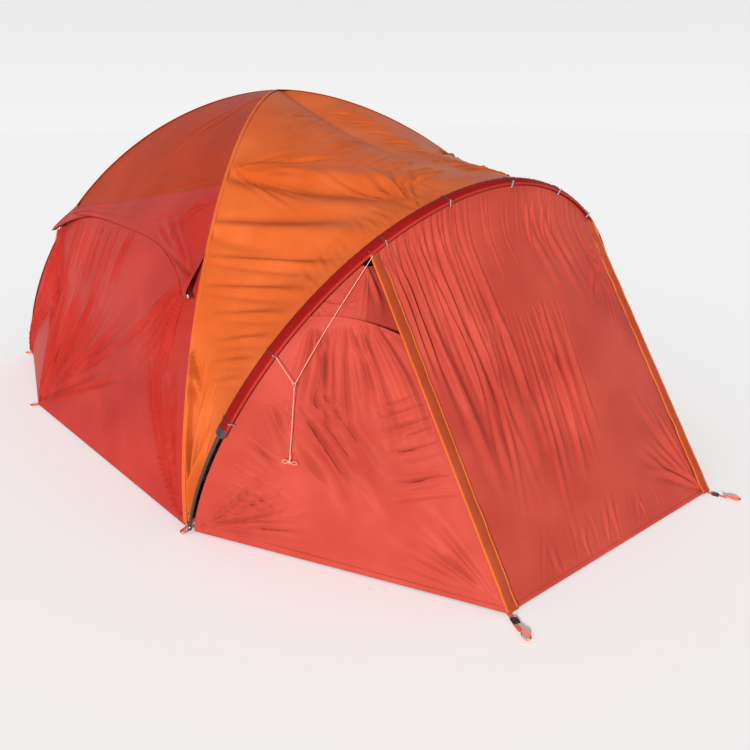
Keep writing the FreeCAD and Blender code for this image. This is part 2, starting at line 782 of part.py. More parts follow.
def sleeve_section(turn, x_side, radial_half, across_half):
    """Oval section of the sleeve at one place on the arch."""
    centre = arch_point(x_side, turn)
    inward = (arch_offset(x_side, turn, 1, 0) - centre)
    points = []
    for step in range(16):
        angle = 2 * math.pi * step / 16
        points.append(centre + arch_back * (math.cos(angle) * across_half) + inward * (math.sin(angle) * radial_half))
    curve = Part.BSplineCurve()
    curve.interpolate(points, PeriodicFlag=True)
    return Part.Wire(curve.toShape())


def arch_turn_at_height(height):
    rise = height / math.cos(lean) / size["arch_height"]
    return math.degrees(math.asin(rise ** (size["arch_rise_round"] / 2)))


def sleeve():
    start = arch_turn_at_height(size["sleeve_start"])
    steps = 14
    turns = [mix(start, 90, step / steps) for step in range(steps + 1)]
    stations = [(turn, LEFT) for turn in turns] + [(turn, RIGHT) for turn in reversed(turns[:-1])]
    across = size["sleeve_width"] / 2
    outer = Part.makeLoft([sleeve_section(t, x, sleeve_outer, across) for t, x in stations], True)
    inner = Part.makeLoft([sleeve_section(t, x, sleeve_inner, across - sleeve_wall) for t, x in stations], True)
    return outer.cut(inner)


node("arch_sleeve", sleeve())

behind_sleeve = size["sleeve_width"] / 2 + size["panel_setback"]
under_sleeve = sleeve_outer + size["panel_setback"]


def front_roof_point(across, up):
    """Left half of the front roof, from the dome's edge (0) to the arch (1)."""
    start, top = 4.0, 89.0
    turn = mix(start, top, up)
    dome = dome_edge(LEFT, FRONT, turn)
    arch = arch_offset(LEFT, mix(start, 90, up), 0, behind_sleeve)
    if up == 1:
        arch.x = -gap
    forward = (arch - dome).normalize()
    point = mix(dome + forward * gap, arch, across)
    sag = mix(0.2, 1.0, up ** 2) * size["ridge_sag"] * math.sin(math.pi * across)
    to_axis = Vector(-point.x, 0, -point.z).normalize()
    return point + to_axis * sag


front_roof = grid(front_roof_point, 10, 14)
both_sides("fly_roof_front", skin(front_roof, size["fly_wall"], Vector(1, 0, -1)))
patch = doc.addObject("Part::Cylinder", "peak_patch")
patch.Radius = 60
patch.setExpression("Height", "dimensions.fly_wall")
patch.Placement = Placement(Vector(0, body_y, size["peak_height"]), Rotation())
keep(patch, "peak_patch")

porch_y = body_y - half_length - size["porch_depth"]
corner_turn = arch_turn_at_x(size["door_half_top"])
door_corner = arch_point(LEFT, corner_turn)


def door_edge(height, shift):
    """Left edge line of the front door, moved outwards across the tent."""
    foot = Vector(-size["porch_front"] / 2, porch_y, 0)
    point = mix(foot, door_corner, height / door_corner.z)
    return point - Vector(shift, 0, 0)


def flipped(point):
    return Vector(-point.x, point.y, point.z)


hem, door_top = size["hem_height"], size["door_top_height"]
door_low, door_high = door_edge(hem, -size["zip_gap"]), door_edge(door_top, -size["zip_gap"])
door_up = (door_high - door_low).normalize()
door_out = Vector(1, 0, 0).cross(door_up).normalize()
if door_out.y > 0:
    door_out = door_out * -1
door_in = door_out * -1
node("front_door", plate([door_low, flipped(door_low), flipped(door_high), door_high], door_in,
                         size["fly_wall"]))


def crown_point(across, up):
    side = LEFT if across < 0.5 else RIGHT
    distance = abs(2 * across - 1) * (size["door_half_top"] - 5 * gap)
    low = door_edge(door_top + gap, 0)
    low = Vector(side * distance, low.y, low.z)
    turn = arch_turn_at_x(distance)
    high = arch_offset(side, turn, under_sleeve, -size["pole_diameter"])
    return mix(low, high, up)


node("porch_crown", skin(grid(crown_point, 16, 4), size["fly_wall"], Vector(0, 1, 0)))


def porch_wall_point(across, up):
    """Left porch wall, from the arch (0) to the door's edge (1)."""
    start = 3.0
    turn = mix(start, size["porch_lower_turn"], up)
    arch = arch_offset(LEFT, turn, under_sleeve, -size["pole_diameter"])
    front = door_edge(mix(hem, size["porch_side_top"], up), size["zip_gap"])
    arch.z = max(arch.z, hem)
    if up == 0:
        arch.z = hem
    return mix(arch, front, across)


def porch_vent_point(across, up):
    """Panel behind the opening between the porch wall's top edge and the arch."""
    turn = mix(size["porch_lower_turn"] - 3, corner_turn - 4, up)
    arch = arch_offset(LEFT, turn, under_sleeve, 0)
    front = door_edge(mix(size["porch_side_top"] - 40, door_corner.z - 90, up), size["zip_gap"] + 10)
    inward = Vector(1, 0.6, 0).normalize() * size["vent_recess"]
    return mix(arch, front, across) + inward * (1 - 0.6 * up)


side_in = Vector(1, 0.5, 0)
both_sides("porch_wall", skin(grid(porch_wall_point, 8, 8), size["fly_wall"], side_in))
vent = skin(grid(porch_vent_point, 6, 6), size["fly_wall"], side_in)
node("porch_vents", Part.makeCompound([vent, mirrored(vent)]))


def storm_flap(x_side):
    """Strip over the zip, standing off the door and lapping over the porch wall."""
    inner_shift = size["flap_lap"] - size["flap_width"]
    lift = door_out * size["flap_lift"]
    corners = [door_edge(hem, size["flap_lap"]), door_edge(hem, inner_shift),
               door_edge(door_top, inner_shift), door_edge(door_top, size["flap_lap"])]
    if x_side == RIGHT:
        corners = [flipped(point) for point in corners]
    return plate([point + lift for point in corners], door_out, size["fly_wall"])


node("storm_flaps", Part.makeCompound([storm_flap(LEFT), storm_flap(RIGHT)]))

zip_middle = door_in * (size["fly_wall"] / 2)
chain_low, chain_high = door_edge(hem + 4, 0) + zip_middle, door_edge(door_top - 4, 0) + zip_middle
chain = bar(chain_low, chain_high, door_out, size["zip_width"], size["zip_thick"])
node("porch_zip_chains", Part.makeCompound([chain, mirrored(chain)]))
low_slider = slider(door_edge(hem + 60, 0) + zip_middle, door_up, door_out)
high_slider = slider(door_edge(door_top - 60, 0) + zip_middle, door_up * -1, door_out)
both_sides("zip_slider_lower", low_slider)
both_sides("zip_slider_upper", high_slider)


def toggle(x_side, turn):
    """A small rod that lies over the sleeve's front edge."""
    half = size["toggle_length"] / 2
    radius = size["toggle_diameter"] / 2
    middle = arch_offset(x_side, turn, 0, -size["sleeve_width"] / 2 - radius - 1)
    inward = (arch_offset(x_side, turn, 1, 0) - arch_offset(x_side, turn, 0, 0))
    start = middle - inward * half
    rod = Part.makeCylinder(radius, 2 * half, start, inward)
    for end in (start, middle + inward * half):
        rod = rod.fuse(Part.makeSphere(radius, end))
    return rod


toggle_turns = [26, 38.5, 62, 75]
toggles = [toggle(side, turn) for side in (LEFT, RIGHT) for turn in toggle_turns]
toggles.append(toggle(LEFT, 90))
node("sleeve_toggles", Part.makeCompound(toggles))

# ---------------------------------------------------------------- peg straps and loops

def strap_loop(place, direction, reach, hole):
    """Webbing that lies on the ground and ends in a loop for a peg."""
    side = Vector(-direction.y, direction.x, 0)
    half = size["webbing_width"] / 2
    end = place + direction * reach
    wide = half + 8
    neck = end - direction * (hole + 14)
    outline = [place + side * half, neck + side * half, neck + direction * 14 + side * wide,
               end + side * half, end - side * half, neck + direction * 14 - side * wide,
               neck - side * half, place - side * half]
    strap = plate(outline, UP, size["webbing_thick"])
    slot = wide - 8
    inner = [neck + direction * 12, neck + direction * 20 + side * (slot * 0.7),
             end - direction * 8 + side * (slot * 0.5), end - direction * 8 - side * (slot * 0.5),
             neck + direction * 20 - side * (slot * 0.7)]
    return strap.cut(plate([p - UP for p in inner], UP, size["webbing_thick"] + 2))


front_foot = Vector(-size["porch_front"] / 2, porch_y, 0)
loops = []
strap_setback = 14
for foot in (axis_a[0], axis_b[-1]):
    corner = Vector(foot.x, foot.y, 0)
    outward = Vector(foot.x, foot.y - body_y, 0).normalize()
    start = corner - outward * 60
    loops.append(strap_loop(start, outward, size["corner_loop"] + 60, 40))
side_peg_point = Vector(-half_width - size["stake_out"], body_y + size["side_stake_back"], 0)
loops.append(strap_loop(side_peg_point + Vector(strap_setback, 0, 0), Vector(-1, 0, 0), 60, 30))
loops += [mirrored(loop) for loop in loops]
rear_peg = Vector(0, body_y + half_length + size["stake_out"], 0)
loops.append(strap_loop(rear_peg - Vector(0, strap_setback, 0), Vector(0, 1, 0), size["rear_strap"] + strap_setback, 30))
strap_way = Vector(-0.35, -1, 0).normalize()
strap_reach = (size["front_strap"] + strap_setback + size["webbing_width"] / 2 * strap_way.x) / -strap_way.y
strap = strap_loop(front_foot + Vector(0, strap_setback, 0), strap_way, strap_reach, 40)
node("peg_loops", Part.makeCompound(loops + [strap, mirrored(strap)]))


def ladder_lock(place, direction):
    """Buckle lying over a strap: a frame with two bars."""
    turn = math.degrees(math.atan2(direction.y, direction.x))
    frame = Part.makeBox(30, 30, 5, Vector(-15, -15, 0))
    for slot_at in (-11, 0):
        slot = Part.makeBox(8, 22, 9, Vector(slot_at, -11, -2))
        frame = frame.cut(slot)
    frame.Placement = Placement(place + UP * (size["webbing_thick"] + 0.3), Rotation(UP, turn))
    return frame


lock = ladder_lock(front_foot + strap_way * 40, strap_way)
node("ladder_locks", Part.makeCompound([lock, mirrored(lock)]))

# ---------------------------------------------------------------- guy cords

def porch_wall_ways(across, up):
    """A place on the left porch wall, the way along it towards the door and the way out of it."""
    step = 0.01
    point = porch_wall_point(across, up)
    aside = (porch_wall_point(across + step, up) - point).normalize()
    upward = porch_wall_point(across, up + step) - point
    normal = aside.cross(upward).normalize()
    return point, aside, normal if normal.x < 0 else normal * -1


def over_porch_wall(across, up, lift):
    """Point above the left porch wall."""
    point, aside, normal = porch_wall_ways(across, up)
    return point + normal * lift


def straight_cord(start, end):
    return Part.makeCylinder(size["guy_cord"] / 2, (end - start).Length, start, end - start)


ring_place = over_porch_wall(0.22, 0.73, size["ring_lift"])
hook_place = arch_offset(LEFT, 38.5, 0, -size["sleeve_width"] / 2 - 12)
flap_place = arch_offset(LEFT, 59, 0, -size["sleeve_width"] / 2 - 12)
bow_place = over_porch_wall(0.31, 0.42, size["bow_lift"])
ring_radius = size["guy_ring"] / 2


def beside(start, end, distance):
    return start + (end - start).normalize() * distance


guy_ring = Part.makeTorus(ring_radius - 1.5, 1.5, ring_place, Vector(-1, -0.5, 0.4))
both_sides("guy_leg_low", straight_cord(hook_place, beside(ring_place, hook_place, ring_radius)))
both_sides("guy_leg_high", straight_cord(flap_place, beside(ring_place, flap_place, ring_radius)))
tail_top = beside(ring_place, bow_place, ring_radius)
tail_end = beside(bow_place, ring_place, 11)
both_sides("guy_tail", straight_cord(tail_top, tail_end))
node("guy_rings", Part.makeCompound([guy_ring, mirrored(guy_ring)]))
bow = Part.makeBox(70, 10, 16, Vector(-35, -5, -8))
bow_along, bow_out = porch_wall_ways(0.31, 0.42)[1:]
bow.Placement = Placement(bow_place, Rotation(bow_along, bow_out, bow_along.cross(bow_out), "XYZ"))
both_sides("guy_bow", bow)

# ---------------------------------------------------------------- check and write

doc.recompute()
for item in doc.Objects:
    if "Invalid" in item.State or "Error" in item.State:
        raise RuntimeError("%s did not build: %s" % (item.Name, item.State))
for item in nodes:
    if item.Shape.isNull() or not item.Shape.isValid():
        raise RuntimeError("%s has no valid shape" % item.Label)
for item in nodes:
    item.Shape.exportStep("parts/%s.step" % item.Label)
print("%d sub-parts" % len(nodes))
for name, axis, sections in poles:
    print("%s: %.0f mm in %d sections" % (name, sum((b - a).Length for a, b in zip(axis, axis[1:])), sections))
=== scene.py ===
import math

import bmesh
import bpy
import numpy as np
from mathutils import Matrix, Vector


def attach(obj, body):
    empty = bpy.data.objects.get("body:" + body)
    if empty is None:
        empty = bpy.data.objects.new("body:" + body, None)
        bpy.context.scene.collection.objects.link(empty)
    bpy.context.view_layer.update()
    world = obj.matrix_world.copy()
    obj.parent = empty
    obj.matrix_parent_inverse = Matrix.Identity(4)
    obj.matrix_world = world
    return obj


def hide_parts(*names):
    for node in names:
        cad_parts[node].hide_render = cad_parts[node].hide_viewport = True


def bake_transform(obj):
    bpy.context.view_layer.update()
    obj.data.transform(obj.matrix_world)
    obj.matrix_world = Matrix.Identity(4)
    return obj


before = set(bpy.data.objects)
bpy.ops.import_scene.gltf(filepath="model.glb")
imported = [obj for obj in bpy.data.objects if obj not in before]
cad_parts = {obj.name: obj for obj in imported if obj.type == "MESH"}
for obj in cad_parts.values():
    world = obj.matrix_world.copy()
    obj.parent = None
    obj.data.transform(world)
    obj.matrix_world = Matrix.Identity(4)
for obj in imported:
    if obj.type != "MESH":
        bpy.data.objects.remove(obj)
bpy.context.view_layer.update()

# ---------------------------------------------------------------- camera
# The tent is seen from its front left corner, from a little under its own height, with a
# normal lens. The tent's body is the square under the two dome poles.
BODY_Y = 0.5845
camera = bpy.data.objects.new("camera", bpy.data.cameras.new("camera"))
bpy.context.scene.collection.objects.link(camera)
camera.location = (-2.4407, -4.2171 + BODY_Y, 1.826)
camera.rotation_euler = (math.pi / 2 - 0.3725, 0, -0.6532)
camera.data.lens = 32.54
bpy.context.scene.camera = camera
bpy.context.scene.view_settings.view_transform = "Standard"

# ---------------------------------------------------------------- floor and light
# A white studio floor, a soft key from the left and the front, and white light from the
# studio's walls, less from its ceiling.


def linear(hex_colour):
    """An sRGB hex colour as linear red, green, blue and alpha."""
    parts = [int(hex_colour[i:i + 2], 16) / 255 for i in (1, 3, 5)]
    return [p / 12.92 if p <= 0.04045 else ((p + 0.055) / 1.055) ** 2.4 for p in parts] + [1.0]


def add(tree, kind, settings=(), **links):
    """A new node of a tree, with its settings, and its inputs linked or set by name."""
    made = tree.nodes.new(kind)
    for name, value in dict(settings).items():
        setattr(made, name, value)
    for name, value in links.items():
        place = int(name[1:]) if name[1:].isdigit() else name.replace("_", " ")
        if isinstance(value, bpy.types.NodeSocket):
            tree.links.new(value, made.inputs[place])
        else:
            made.inputs[place].default_value = value
    return made


def material(name, **shader):
    """A new material with its Principled shader's sockets set. Returns it, its tree and the shader."""
    made = bpy.data.materials.new(name)
    made.use_nodes = True
    tree = made.node_tree
    principled = tree.nodes["Principled BSDF"]
    for key, value in shader.items():
        principled.inputs[key.replace("_", " ")].default_value = value
    return made, tree, principled


def solid(name, vertices, faces):
    """A new object from points and faces."""
    mesh = bpy.data.meshes.new(name)
    mesh.from_pydata([tuple(v) for v in vertices], [], faces)
    mesh.update()
    piece = bpy.data.objects.new(name, mesh)
    bpy.context.scene.collection.objects.link(piece)
    return piece


floor_reach = 60.0
corners = [(-1, -1), (1, -1), (1, 1), (-1, 1)]
floor = solid("studio_floor", [(floor_reach * x, floor_reach * y, 0) for x, y in corners], [(0, 1, 2, 3)])
paper, tree, shader = material("matt white paper", Base_Color=linear("#F8F8F8"), Roughness=0.9,
                               Specular_IOR_Level=0.1)
floor.data.materials.append(paper)

world = bpy.data.worlds.new("studio")
world.use_nodes = True
tree = world.node_tree
HORIZON_LIGHT, CEILING_LIGHT = 0.90, 0.30
tree.nodes["Background"].inputs["Color"].default_value = linear("#FFFFFF")
aim = add(tree, "ShaderNodeTexCoord").outputs["Generated"]
height = add(tree, "ShaderNodeSeparateXYZ", Vector=aim).outputs["Z"]
walls_to_ceiling = add(tree, "ShaderNodeMapRange", Value=height, From_Min=0.0, From_Max=1.0,
                       To_Min=HORIZON_LIGHT, To_Max=CEILING_LIGHT)
tree.links.new(walls_to_ceiling.outputs[0], tree.nodes["Background"].inputs["Strength"])
bpy.context.scene.world = world

KEY_FROM, KEY_STRENGTH, KEY_SOFTNESS = Vector((-0.74, -0.62, 0.27)), 5.2, math.radians(7)
key = bpy.data.lights.new("key_light", "SUN")
key.energy = KEY_STRENGTH
key.angle = KEY_SOFTNESS
key_object = bpy.data.objects.new("key_light", key)
key_object.rotation_euler = KEY_FROM.to_track_quat("Z", "Y").to_euler()
bpy.context.scene.collection.objects.link(key_object)

# ---------------------------------------------------------------- poles
# Aluminium tube sections with an anodised charcoal surface, plugged together over bare
# ferrules on a shock cord. The tubes stay as the frame gives them.


def finish_nodes(made, *nodes):
    """Gives CAD nodes their material."""
    for name in nodes:
        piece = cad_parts[name]
        piece.data.materials.clear()
        piece.data.materials.append(made)


def ripple(tree, scale, strength, distance, stretch=(1, 1, 1), detail=3.0):
    """A bump from noise in the object's own metres. Returns the normal and the noise."""
    place = add(tree, "ShaderNodeTexCoord").outputs["Object"]
    spread_out = add(tree, "ShaderNodeMapping", Vector=place, Scale=stretch)
    noise = add(tree, "ShaderNodeTexNoise", Vector=spread_out.outputs[0], Scale=scale, Detail=detail)
    bump = add(tree, "ShaderNodeBump", Height=noise.outputs[0], Strength=strength, Distance=distance)
    return bump.outputs[0], noise.outputs[0]


def tinted(tree, amount, dark, light):
    """A colour between two, by an amount from 0 to 1."""
    ramp = add(tree, "ShaderNodeValToRGB", Fac=amount)
    ramp.color_ramp.elements[0].color = linear(dark)
    ramp.color_ramp.elements[1].color = linear(light)
    ramp.color_ramp.elements[0].position = 0.3
    ramp.color_ramp.elements[1].position = 0.7
    return ramp.outputs[0]


def plain_finish(name, dark, light, roughness, scale, strength=0.2, **shader):
    """A solid material whose colour and roughness vary a little, with a fine grain."""
    made, tree, principled = material(name, Roughness=roughness, **shader)
    normal, noise = ripple(tree, scale, strength, 0.0005)
    tree.links.new(tinted(tree, noise, dark, light), principled.inputs["Base Color"])
    tree.links.new(normal, principled.inputs["Normal"])
    rough = add(tree, "ShaderNodeMapRange", Value=noise, To_Min=roughness * 0.85,
                To_Max=min(1, roughness * 1.2))
    tree.links.new(rough.outputs[0], principled.inputs["Roughness"])
    return made


# Anodised aluminium is a dyed glassy layer on drawn metal: a dark tone with a soft metal gleam.
anodised = plain_finish("anodised aluminium charcoal", "#4A3A30", "#6A5548", 0.34, 400, Metallic=0.85)
# Drawn aluminium left bare is pale and scuffed by sliding in and out of the tubes.
bare = plain_finish("drawn aluminium bare", "#B9BCC0", "#D5D7DA", 0.28, 500, Metallic=1.0)
finish_nodes(anodised, "dome_pole_a", "dome_pole_b", "arch_pole",
             "brow_pole_left", "brow_pole_right", "brow_pole_rear")
finish_nodes(bare, "pole_ferrules", "pole_tips")
# A braided polyester sheath over rubber strands: matt, with fine crossing threads.
elastic = plain_finish("braided elastic white", "#B9B5AE", "#DAD7D0", 0.8, 1500, 0.4)
finish_nodes(elastic, "shock_cords")

# ---------------------------------------------------------------- crossing clip, feet and small plastics
# Moulded nylon parts: black where the poles cross, stand and are clipped, grey for the
# small rods on the sleeve. Slightly rough from the mould, with a low sheen.
black_nylon = plain_finish("moulded nylon black", "#17171A", "#26262A", 0.5, 900)
grey_nylon = plain_finish("moulded nylon grey", "#6E6A68", "#97928E", 0.42, 900)
finish_nodes(black_nylon, "pole_crossing_clip", "foot_sockets", "inner_tent_clips")

# ---------------------------------------------------------------- rainfly roof
# Three orange panels of coated taffeta between the dome poles, drawn darker than the front
# roof's orange as painted shade, cut flat across and curved with the poles, sewn to one
# another along the poles and to the eave hoods below.

# The dome's edges follow two crossed poles, and the arch pole leans forward over the porch.
HALF_WIDTH, HALF_LENGTH, PEAK = 1.5, 1.525, 1.95
PLAN_ROUND, RISE_ROUND = 1.806, 1.655
ARCH_HEIGHT, ARCH_LEAN, ARCH_STEP = 1.59, math.radians(16.9), 0.040
ARCH_PLAN_ROUND, ARCH_RISE_ROUND = 1.914, 1.743
ARCH_BACK = np.array([0, math.cos(ARCH_LEAN), math.sin(ARCH_LEAN)])


def mix(a, b, share):
    return a + (b - a) * share


def point(x, y, z):
    return np.stack(np.broadcast_arrays(x, y, z), -1).astype(float)


def dome_share(z):
    """How far out a dome edge is at a height, as a share of its foot."""
    rise = np.clip(np.asarray(z) / PEAK, 0, 1) ** (RISE_ROUND / 2)
    return np.cos(np.arcsin(rise)) ** (2 / PLAN_ROUND)


def dome_edge(x_side, y_side, turn):
    """A dome edge from its foot at turn 0 to the peak at 90."""
    share = np.abs(np.cos(np.radians(turn))) ** (2 / PLAN_ROUND)
    z = PEAK * np.sin(np.radians(turn)) ** (2 / RISE_ROUND)
    return point(x_side * HALF_WIDTH * share, BODY_Y + y_side * HALF_LENGTH * share, z)


def arch_point(x_side, turn):
    """The arch pole's axis from its foot at turn 0 to the crown at 90."""
    share = np.abs(np.cos(np.radians(turn))) ** (2 / ARCH_PLAN_ROUND)
    rise = ARCH_HEIGHT * np.sin(np.radians(turn)) ** (2 / ARCH_RISE_ROUND)
    y = BODY_Y - HALF_LENGTH - ARCH_STEP - rise * math.sin(ARCH_LEAN)
    return point(x_side * HALF_WIDTH * share, y, rise * math.cos(ARCH_LEAN))


def arch_offset(x_side, turn, inward, back):
    """Beside the arch's axis: inward in its plane, and back across it."""
    turn = np.asarray(turn, float)
    along = arch_point(x_side, np.minimum(turn + 0.5, 90)) - arch_point(x_side, np.maximum(turn - 0.5, 0))
    radial = np.cross(along, ARCH_BACK)
    radial /= np.linalg.norm(radial, axis=-1, keepdims=True)
    centre = arch_point(x_side, turn)
    to_axis = centre * np.array([-1, 0, -1])
    radial *= np.sign((radial * to_axis).sum(-1, keepdims=True))
    inward, back = (np.asarray(v, float)[..., None] for v in (inward, back))
    return centre + radial * inward + ARCH_BACK * back


def arch_turn_at_x(distance):
    return np.degrees(np.arccos((distance / HALF_WIDTH) ** (ARCH_PLAN_ROUND / 2)))


def left_frame(along, z, out):
    """The left side: along is a share of its half length, out is away from the tent."""
    share = dome_share(z)
    return point(-HALF_WIDTH * share - out, BODY_Y + along * HALF_LENGTH * share, z)


def rear_frame(along, z, out):
    share = dome_share(z)
    return point(along * HALF_WIDTH * share, BODY_Y + HALF_LENGTH * share + out, z)


def mirrored(points):
    return np.asarray(points) * np.array([-1.0, 1.0, 1.0])


def unit(v):
    v = np.asarray(v, float)
    return v / np.linalg.norm(v, axis=-1, keepdims=True)


# Every panel is a grid of points between the tent's lines, moved along its normals by
# tension folds that run from one line on the tent to another.


def ease(t):
    t = np.clip(t, 0, 1)
    return t * t * (3 - 2 * t)


def normals_of(points):
    across = np.gradient(points, axis=1)
    up = np.gradient(points, axis=0)
    return unit(np.cross(across, up) + 1e-12)


def folds(seed, count, start, finish, height, width, bow=0.02, sharp=1.0, jitter=0.3):
    """Folds from places on one line to places on another: height is out of the cloth."""
    rng = np.random.default_rng(seed)
    start, finish = np.atleast_2d(start), np.atleast_2d(finish)
    made = []
    for index in range(count):
        share = (index + 0.5 + jitter * rng.uniform(-1, 1)) / count
        a = mix(start[0], start[-1], share)
        b = mix(finish[0], finish[-1], np.clip(share + 0.25 * jitter * rng.uniform(-1, 1), 0, 1))
        reach = rng.uniform(0.55, 1.0)
        size = height * rng.uniform(0.7, 1.6) * (1 if rng.uniform() > 0.25 else -0.6)
        made.append((a, mix(a, b, reach), size, width * rng.uniform(0.6, 1.3),
                     bow * rng.uniform(-1, 1), sharp))
    return made


def creased(points, made, mask=1.0, billow=0.0):
    """The points moved along the sheet's normals by its folds and by a soft billow."""
    normals = normals_of(points)
    lift = np.full(points.shape[:2], 0.0) + billow
    for a, b, height, width, bow, sharp in made:
        way = b - a
        length = np.linalg.norm(way)
        way = way / length
        rel = points - a
        t = rel @ way / length
        side = np.cross(normals, way)
        away = (rel * side).sum(-1) - bow * np.sin(np.pi * np.clip(t, 0, 1))
        window = np.clip(t + 0.02, 0, 1) ** 0.35 * ease((1.02 - t) / 0.6) * (t > -0.02) * (t < 1.02)
        x = away / (width * (0.3 + 0.7 * np.clip(t, 0, 1) ** 0.7))
        ridge = np.exp(-np.abs(x) ** (2 - 0.6 * sharp)) - 0.55 * np.exp(-((np.abs(x) - 1.6) ** 2) * 1.2)
        lift = lift + height * window * ridge
    return points + normals * (lift * mask)[..., None]


def fade(shape, left=0.0, right=0.0, low=0.0, high=0.0):
    """A mask that falls to nothing at the chosen edges, over these shares of the sheet."""
    v, u = np.meshgrid(np.linspace(0, 1, shape[0]), np.linspace(0, 1, shape[1]), indexing="ij")
    mask = np.ones(shape)
    for reach, share in ((left, u), (right, 1 - u), (low, v), (high, 1 - v)):
        if reach:
            mask = mask * ease(share / reach)
    return mask


def go_with(piece, body):
    """The piece rides on a body given by name; given anything else, it keeps its place as drawn."""
    if isinstance(body, str):
        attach(piece, body)
    else:
        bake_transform(piece)


def sheet_piece(name, points, made, body, thick=0.0):
    """A sheet object from a grid of points, with its cut in metres as its UV map."""
    rows, columns = points.shape[:2]
    index = np.arange(rows * columns).reshape(rows, columns)
    faces = np.stack([index[:-1, :-1], index[:-1, 1:], index[1:, 1:], index[1:, :-1]], -1).reshape(-1, 4)
    piece = solid(name, points.reshape(-1, 3), faces.tolist())
    across = np.linalg.norm(np.diff(points, axis=1), axis=-1)
    up = np.linalg.norm(np.diff(points, axis=0), axis=-1)
    u = np.concatenate([np.zeros((rows, 1)), np.cumsum(across, 1)], 1)
    u -= u[:, -1:] / 2
    v = np.concatenate([np.zeros((1, columns)), np.cumsum(up, 0)], 0)
    layer = piece.data.uv_layers.new(name="cut")
    flat = np.stack([u, v], -1).reshape(-1, 2)
    layer.data.foreach_set("uv", flat[faces.reshape(-1)].astype(np.float32).ravel())
    piece.data.polygons.foreach_set("use_smooth", np.ones(len(faces), bool))
    piece.data.materials.append(made)
    if thick:
        solidify = piece.modifiers.new("cloth", "SOLIDIFY")
        solidify.thickness = thick
    go_with(piece, body)
    return piece

# Coated polyester and nylon taffeta: threads too fine to see, a satin gleam that follows
# the folds, and small crinkles from packing. Colours run from shade to lit cloth.
# The real threads are 0.4 mm apart, which is too fine to show, so they are drawn at 2.8 mm.
DRAWN_THREAD = 0.0028
WAVE_PERIOD = 0.31  # a wave texture at scale 1 repeats about this often, in metres


def taffeta(name, dark, light, gleam, roughness=0.4, crinkle=0.3):
    """Satin cloth with a weave, its colour patches, and small crinkles."""
    made, tree, principled = material(name, Roughness=roughness, Specular_IOR_Level=0.06,
                                      Specular_Tint=linear(gleam))
    cut = add(tree, "ShaderNodeUVMap", {"uv_map": "cut"}).outputs[0]
    place = add(tree, "ShaderNodeTexCoord").outputs["Object"]
    patch = add(tree, "ShaderNodeTexNoise", Vector=place, Scale=3.0, Detail=3.0)
    tone = tinted(tree, patch.outputs[0], dark, light)
    tree.links.new(tone, principled.inputs["Base Color"])
    warp = add(tree, "ShaderNodeTexWave", {"bands_direction": "X"}, Vector=cut,
               Scale=WAVE_PERIOD / DRAWN_THREAD)
    weft = add(tree, "ShaderNodeTexWave", {"bands_direction": "Y"}, Vector=cut,
               Scale=WAVE_PERIOD / DRAWN_THREAD)
    weave = add(tree, "ShaderNodeMath", {"operation": "MULTIPLY"}, i0=warp.outputs[1], i1=weft.outputs[1])
    fine = add(tree, "ShaderNodeBump", Height=weave.outputs[0], Strength=0.12, Distance=0.0002)
    packed = add(tree, "ShaderNodeTexNoise", Vector=place, Scale=26.0, Detail=5.0, Distortion=0.6)
    bump = add(tree, "ShaderNodeBump", Height=packed.outputs[0], Strength=crinkle, Distance=0.0015,
               Normal=fine.outputs[0])
    tree.links.new(bump.outputs[0], principled.inputs["Normal"])
    rough = add(tree, "ShaderNodeMapRange", Value=packed.outputs[0], To_Min=roughness - 0.06,
                To_Max=roughness + 0.08)
    tree.links.new(rough.outputs[0], principled.inputs["Roughness"])
    return made


orange = taffeta("polyester taffeta orange", "#A6471C", "#B35528", "#FFB27E")
# The same cloth as the front roof, darker: painted shade for the dimmer, upward-facing roof panels.
roof_orange_painted_shade = taffeta("polyester taffeta orange painted shade", "#852303", "#912904", "#FFA56E")
red = taffeta("polyester taffeta red", "#8D201A", "#9A2A22", "#FF9C8C")
# The fly's red cloth drawn lighter for the porch: painted light for its brighter lit cloth and highlights.
porch_red_painted_light = taffeta("polyester taffeta red painted light", "#923229", "#A33F33", "#FFA898")
flap_orange = taffeta("polyester taffeta orange tape", "#88341E", "#944026", "#FFB27E")
dark_red = taffeta("polyester taffeta dark red", "#6B0D0C", "#7C1513", "#FF8A7C", roughness=0.5)

LEFT, RIGHT, FRONT, BACK = -1, 1, -1, 1
HOOD_FRONT, HOOD_BACK, HOOD_REAR = 1.47, 1.18, 1.33


def side_hood_top(along):
    return mix(HOOD_FRONT, HOOD_BACK, (along + 1) / 2)


def rear_hood_top(along):
    return HOOD_REAR + 0 * along


def panel(frame_of, start, end, low_of, high_of, out_of, shape):
    """A grid over a side of the tent between two shares along it and two heights."""
    rows, columns = shape
    along = np.linspace(start, end, columns)[None, :]
    share = np.linspace(0, 1, rows)[:, None]
    z = mix(low_of(along), high_of(along), np.sin(np.pi / 2 * share))
    return frame_of(along, z, out_of(along, z))


def flush(along, z):
    return 0 * z


roof_cut = {}
for name, frame_of, hood_top, seed in (("left", left_frame, side_hood_top, 11),
                                       ("rear", rear_frame, rear_hood_top, 12)):
    rows = panel(frame_of, -1, 1, hood_top, lambda a: PEAK - 0.0004 + 0 * a, flush, (110, 110))
    if name == "left":
        made = folds(seed, 7, frame_of(-0.96, 1.50, 0), frame_of(0.2, 1.27, 0), 0.004, 0.030)
        made += folds(seed + 1, 6, frame_of(-0.98, 1.9, 0), [frame_of(-0.3, 1.5, 0), frame_of(0.3, 1.5, 0)],
                      0.004, 0.035)
    else:
        made = folds(seed, 8, frame_of(-0.97, 1.36, 0), [frame_of(0, 1.5, 0), frame_of(0.2, 1.8, 0)],
                     0.004, 0.03)
        made += folds(seed + 1, 8, frame_of(0.97, 1.36, 0), [frame_of(0, 1.5, 0), frame_of(-0.2, 1.8, 0)],
                      0.004, 0.03)
    rows = creased(rows, made, fade(rows.shape[:2], 0.08, 0.08, 0.06, 0.2))
    roof_cut[name] = rows
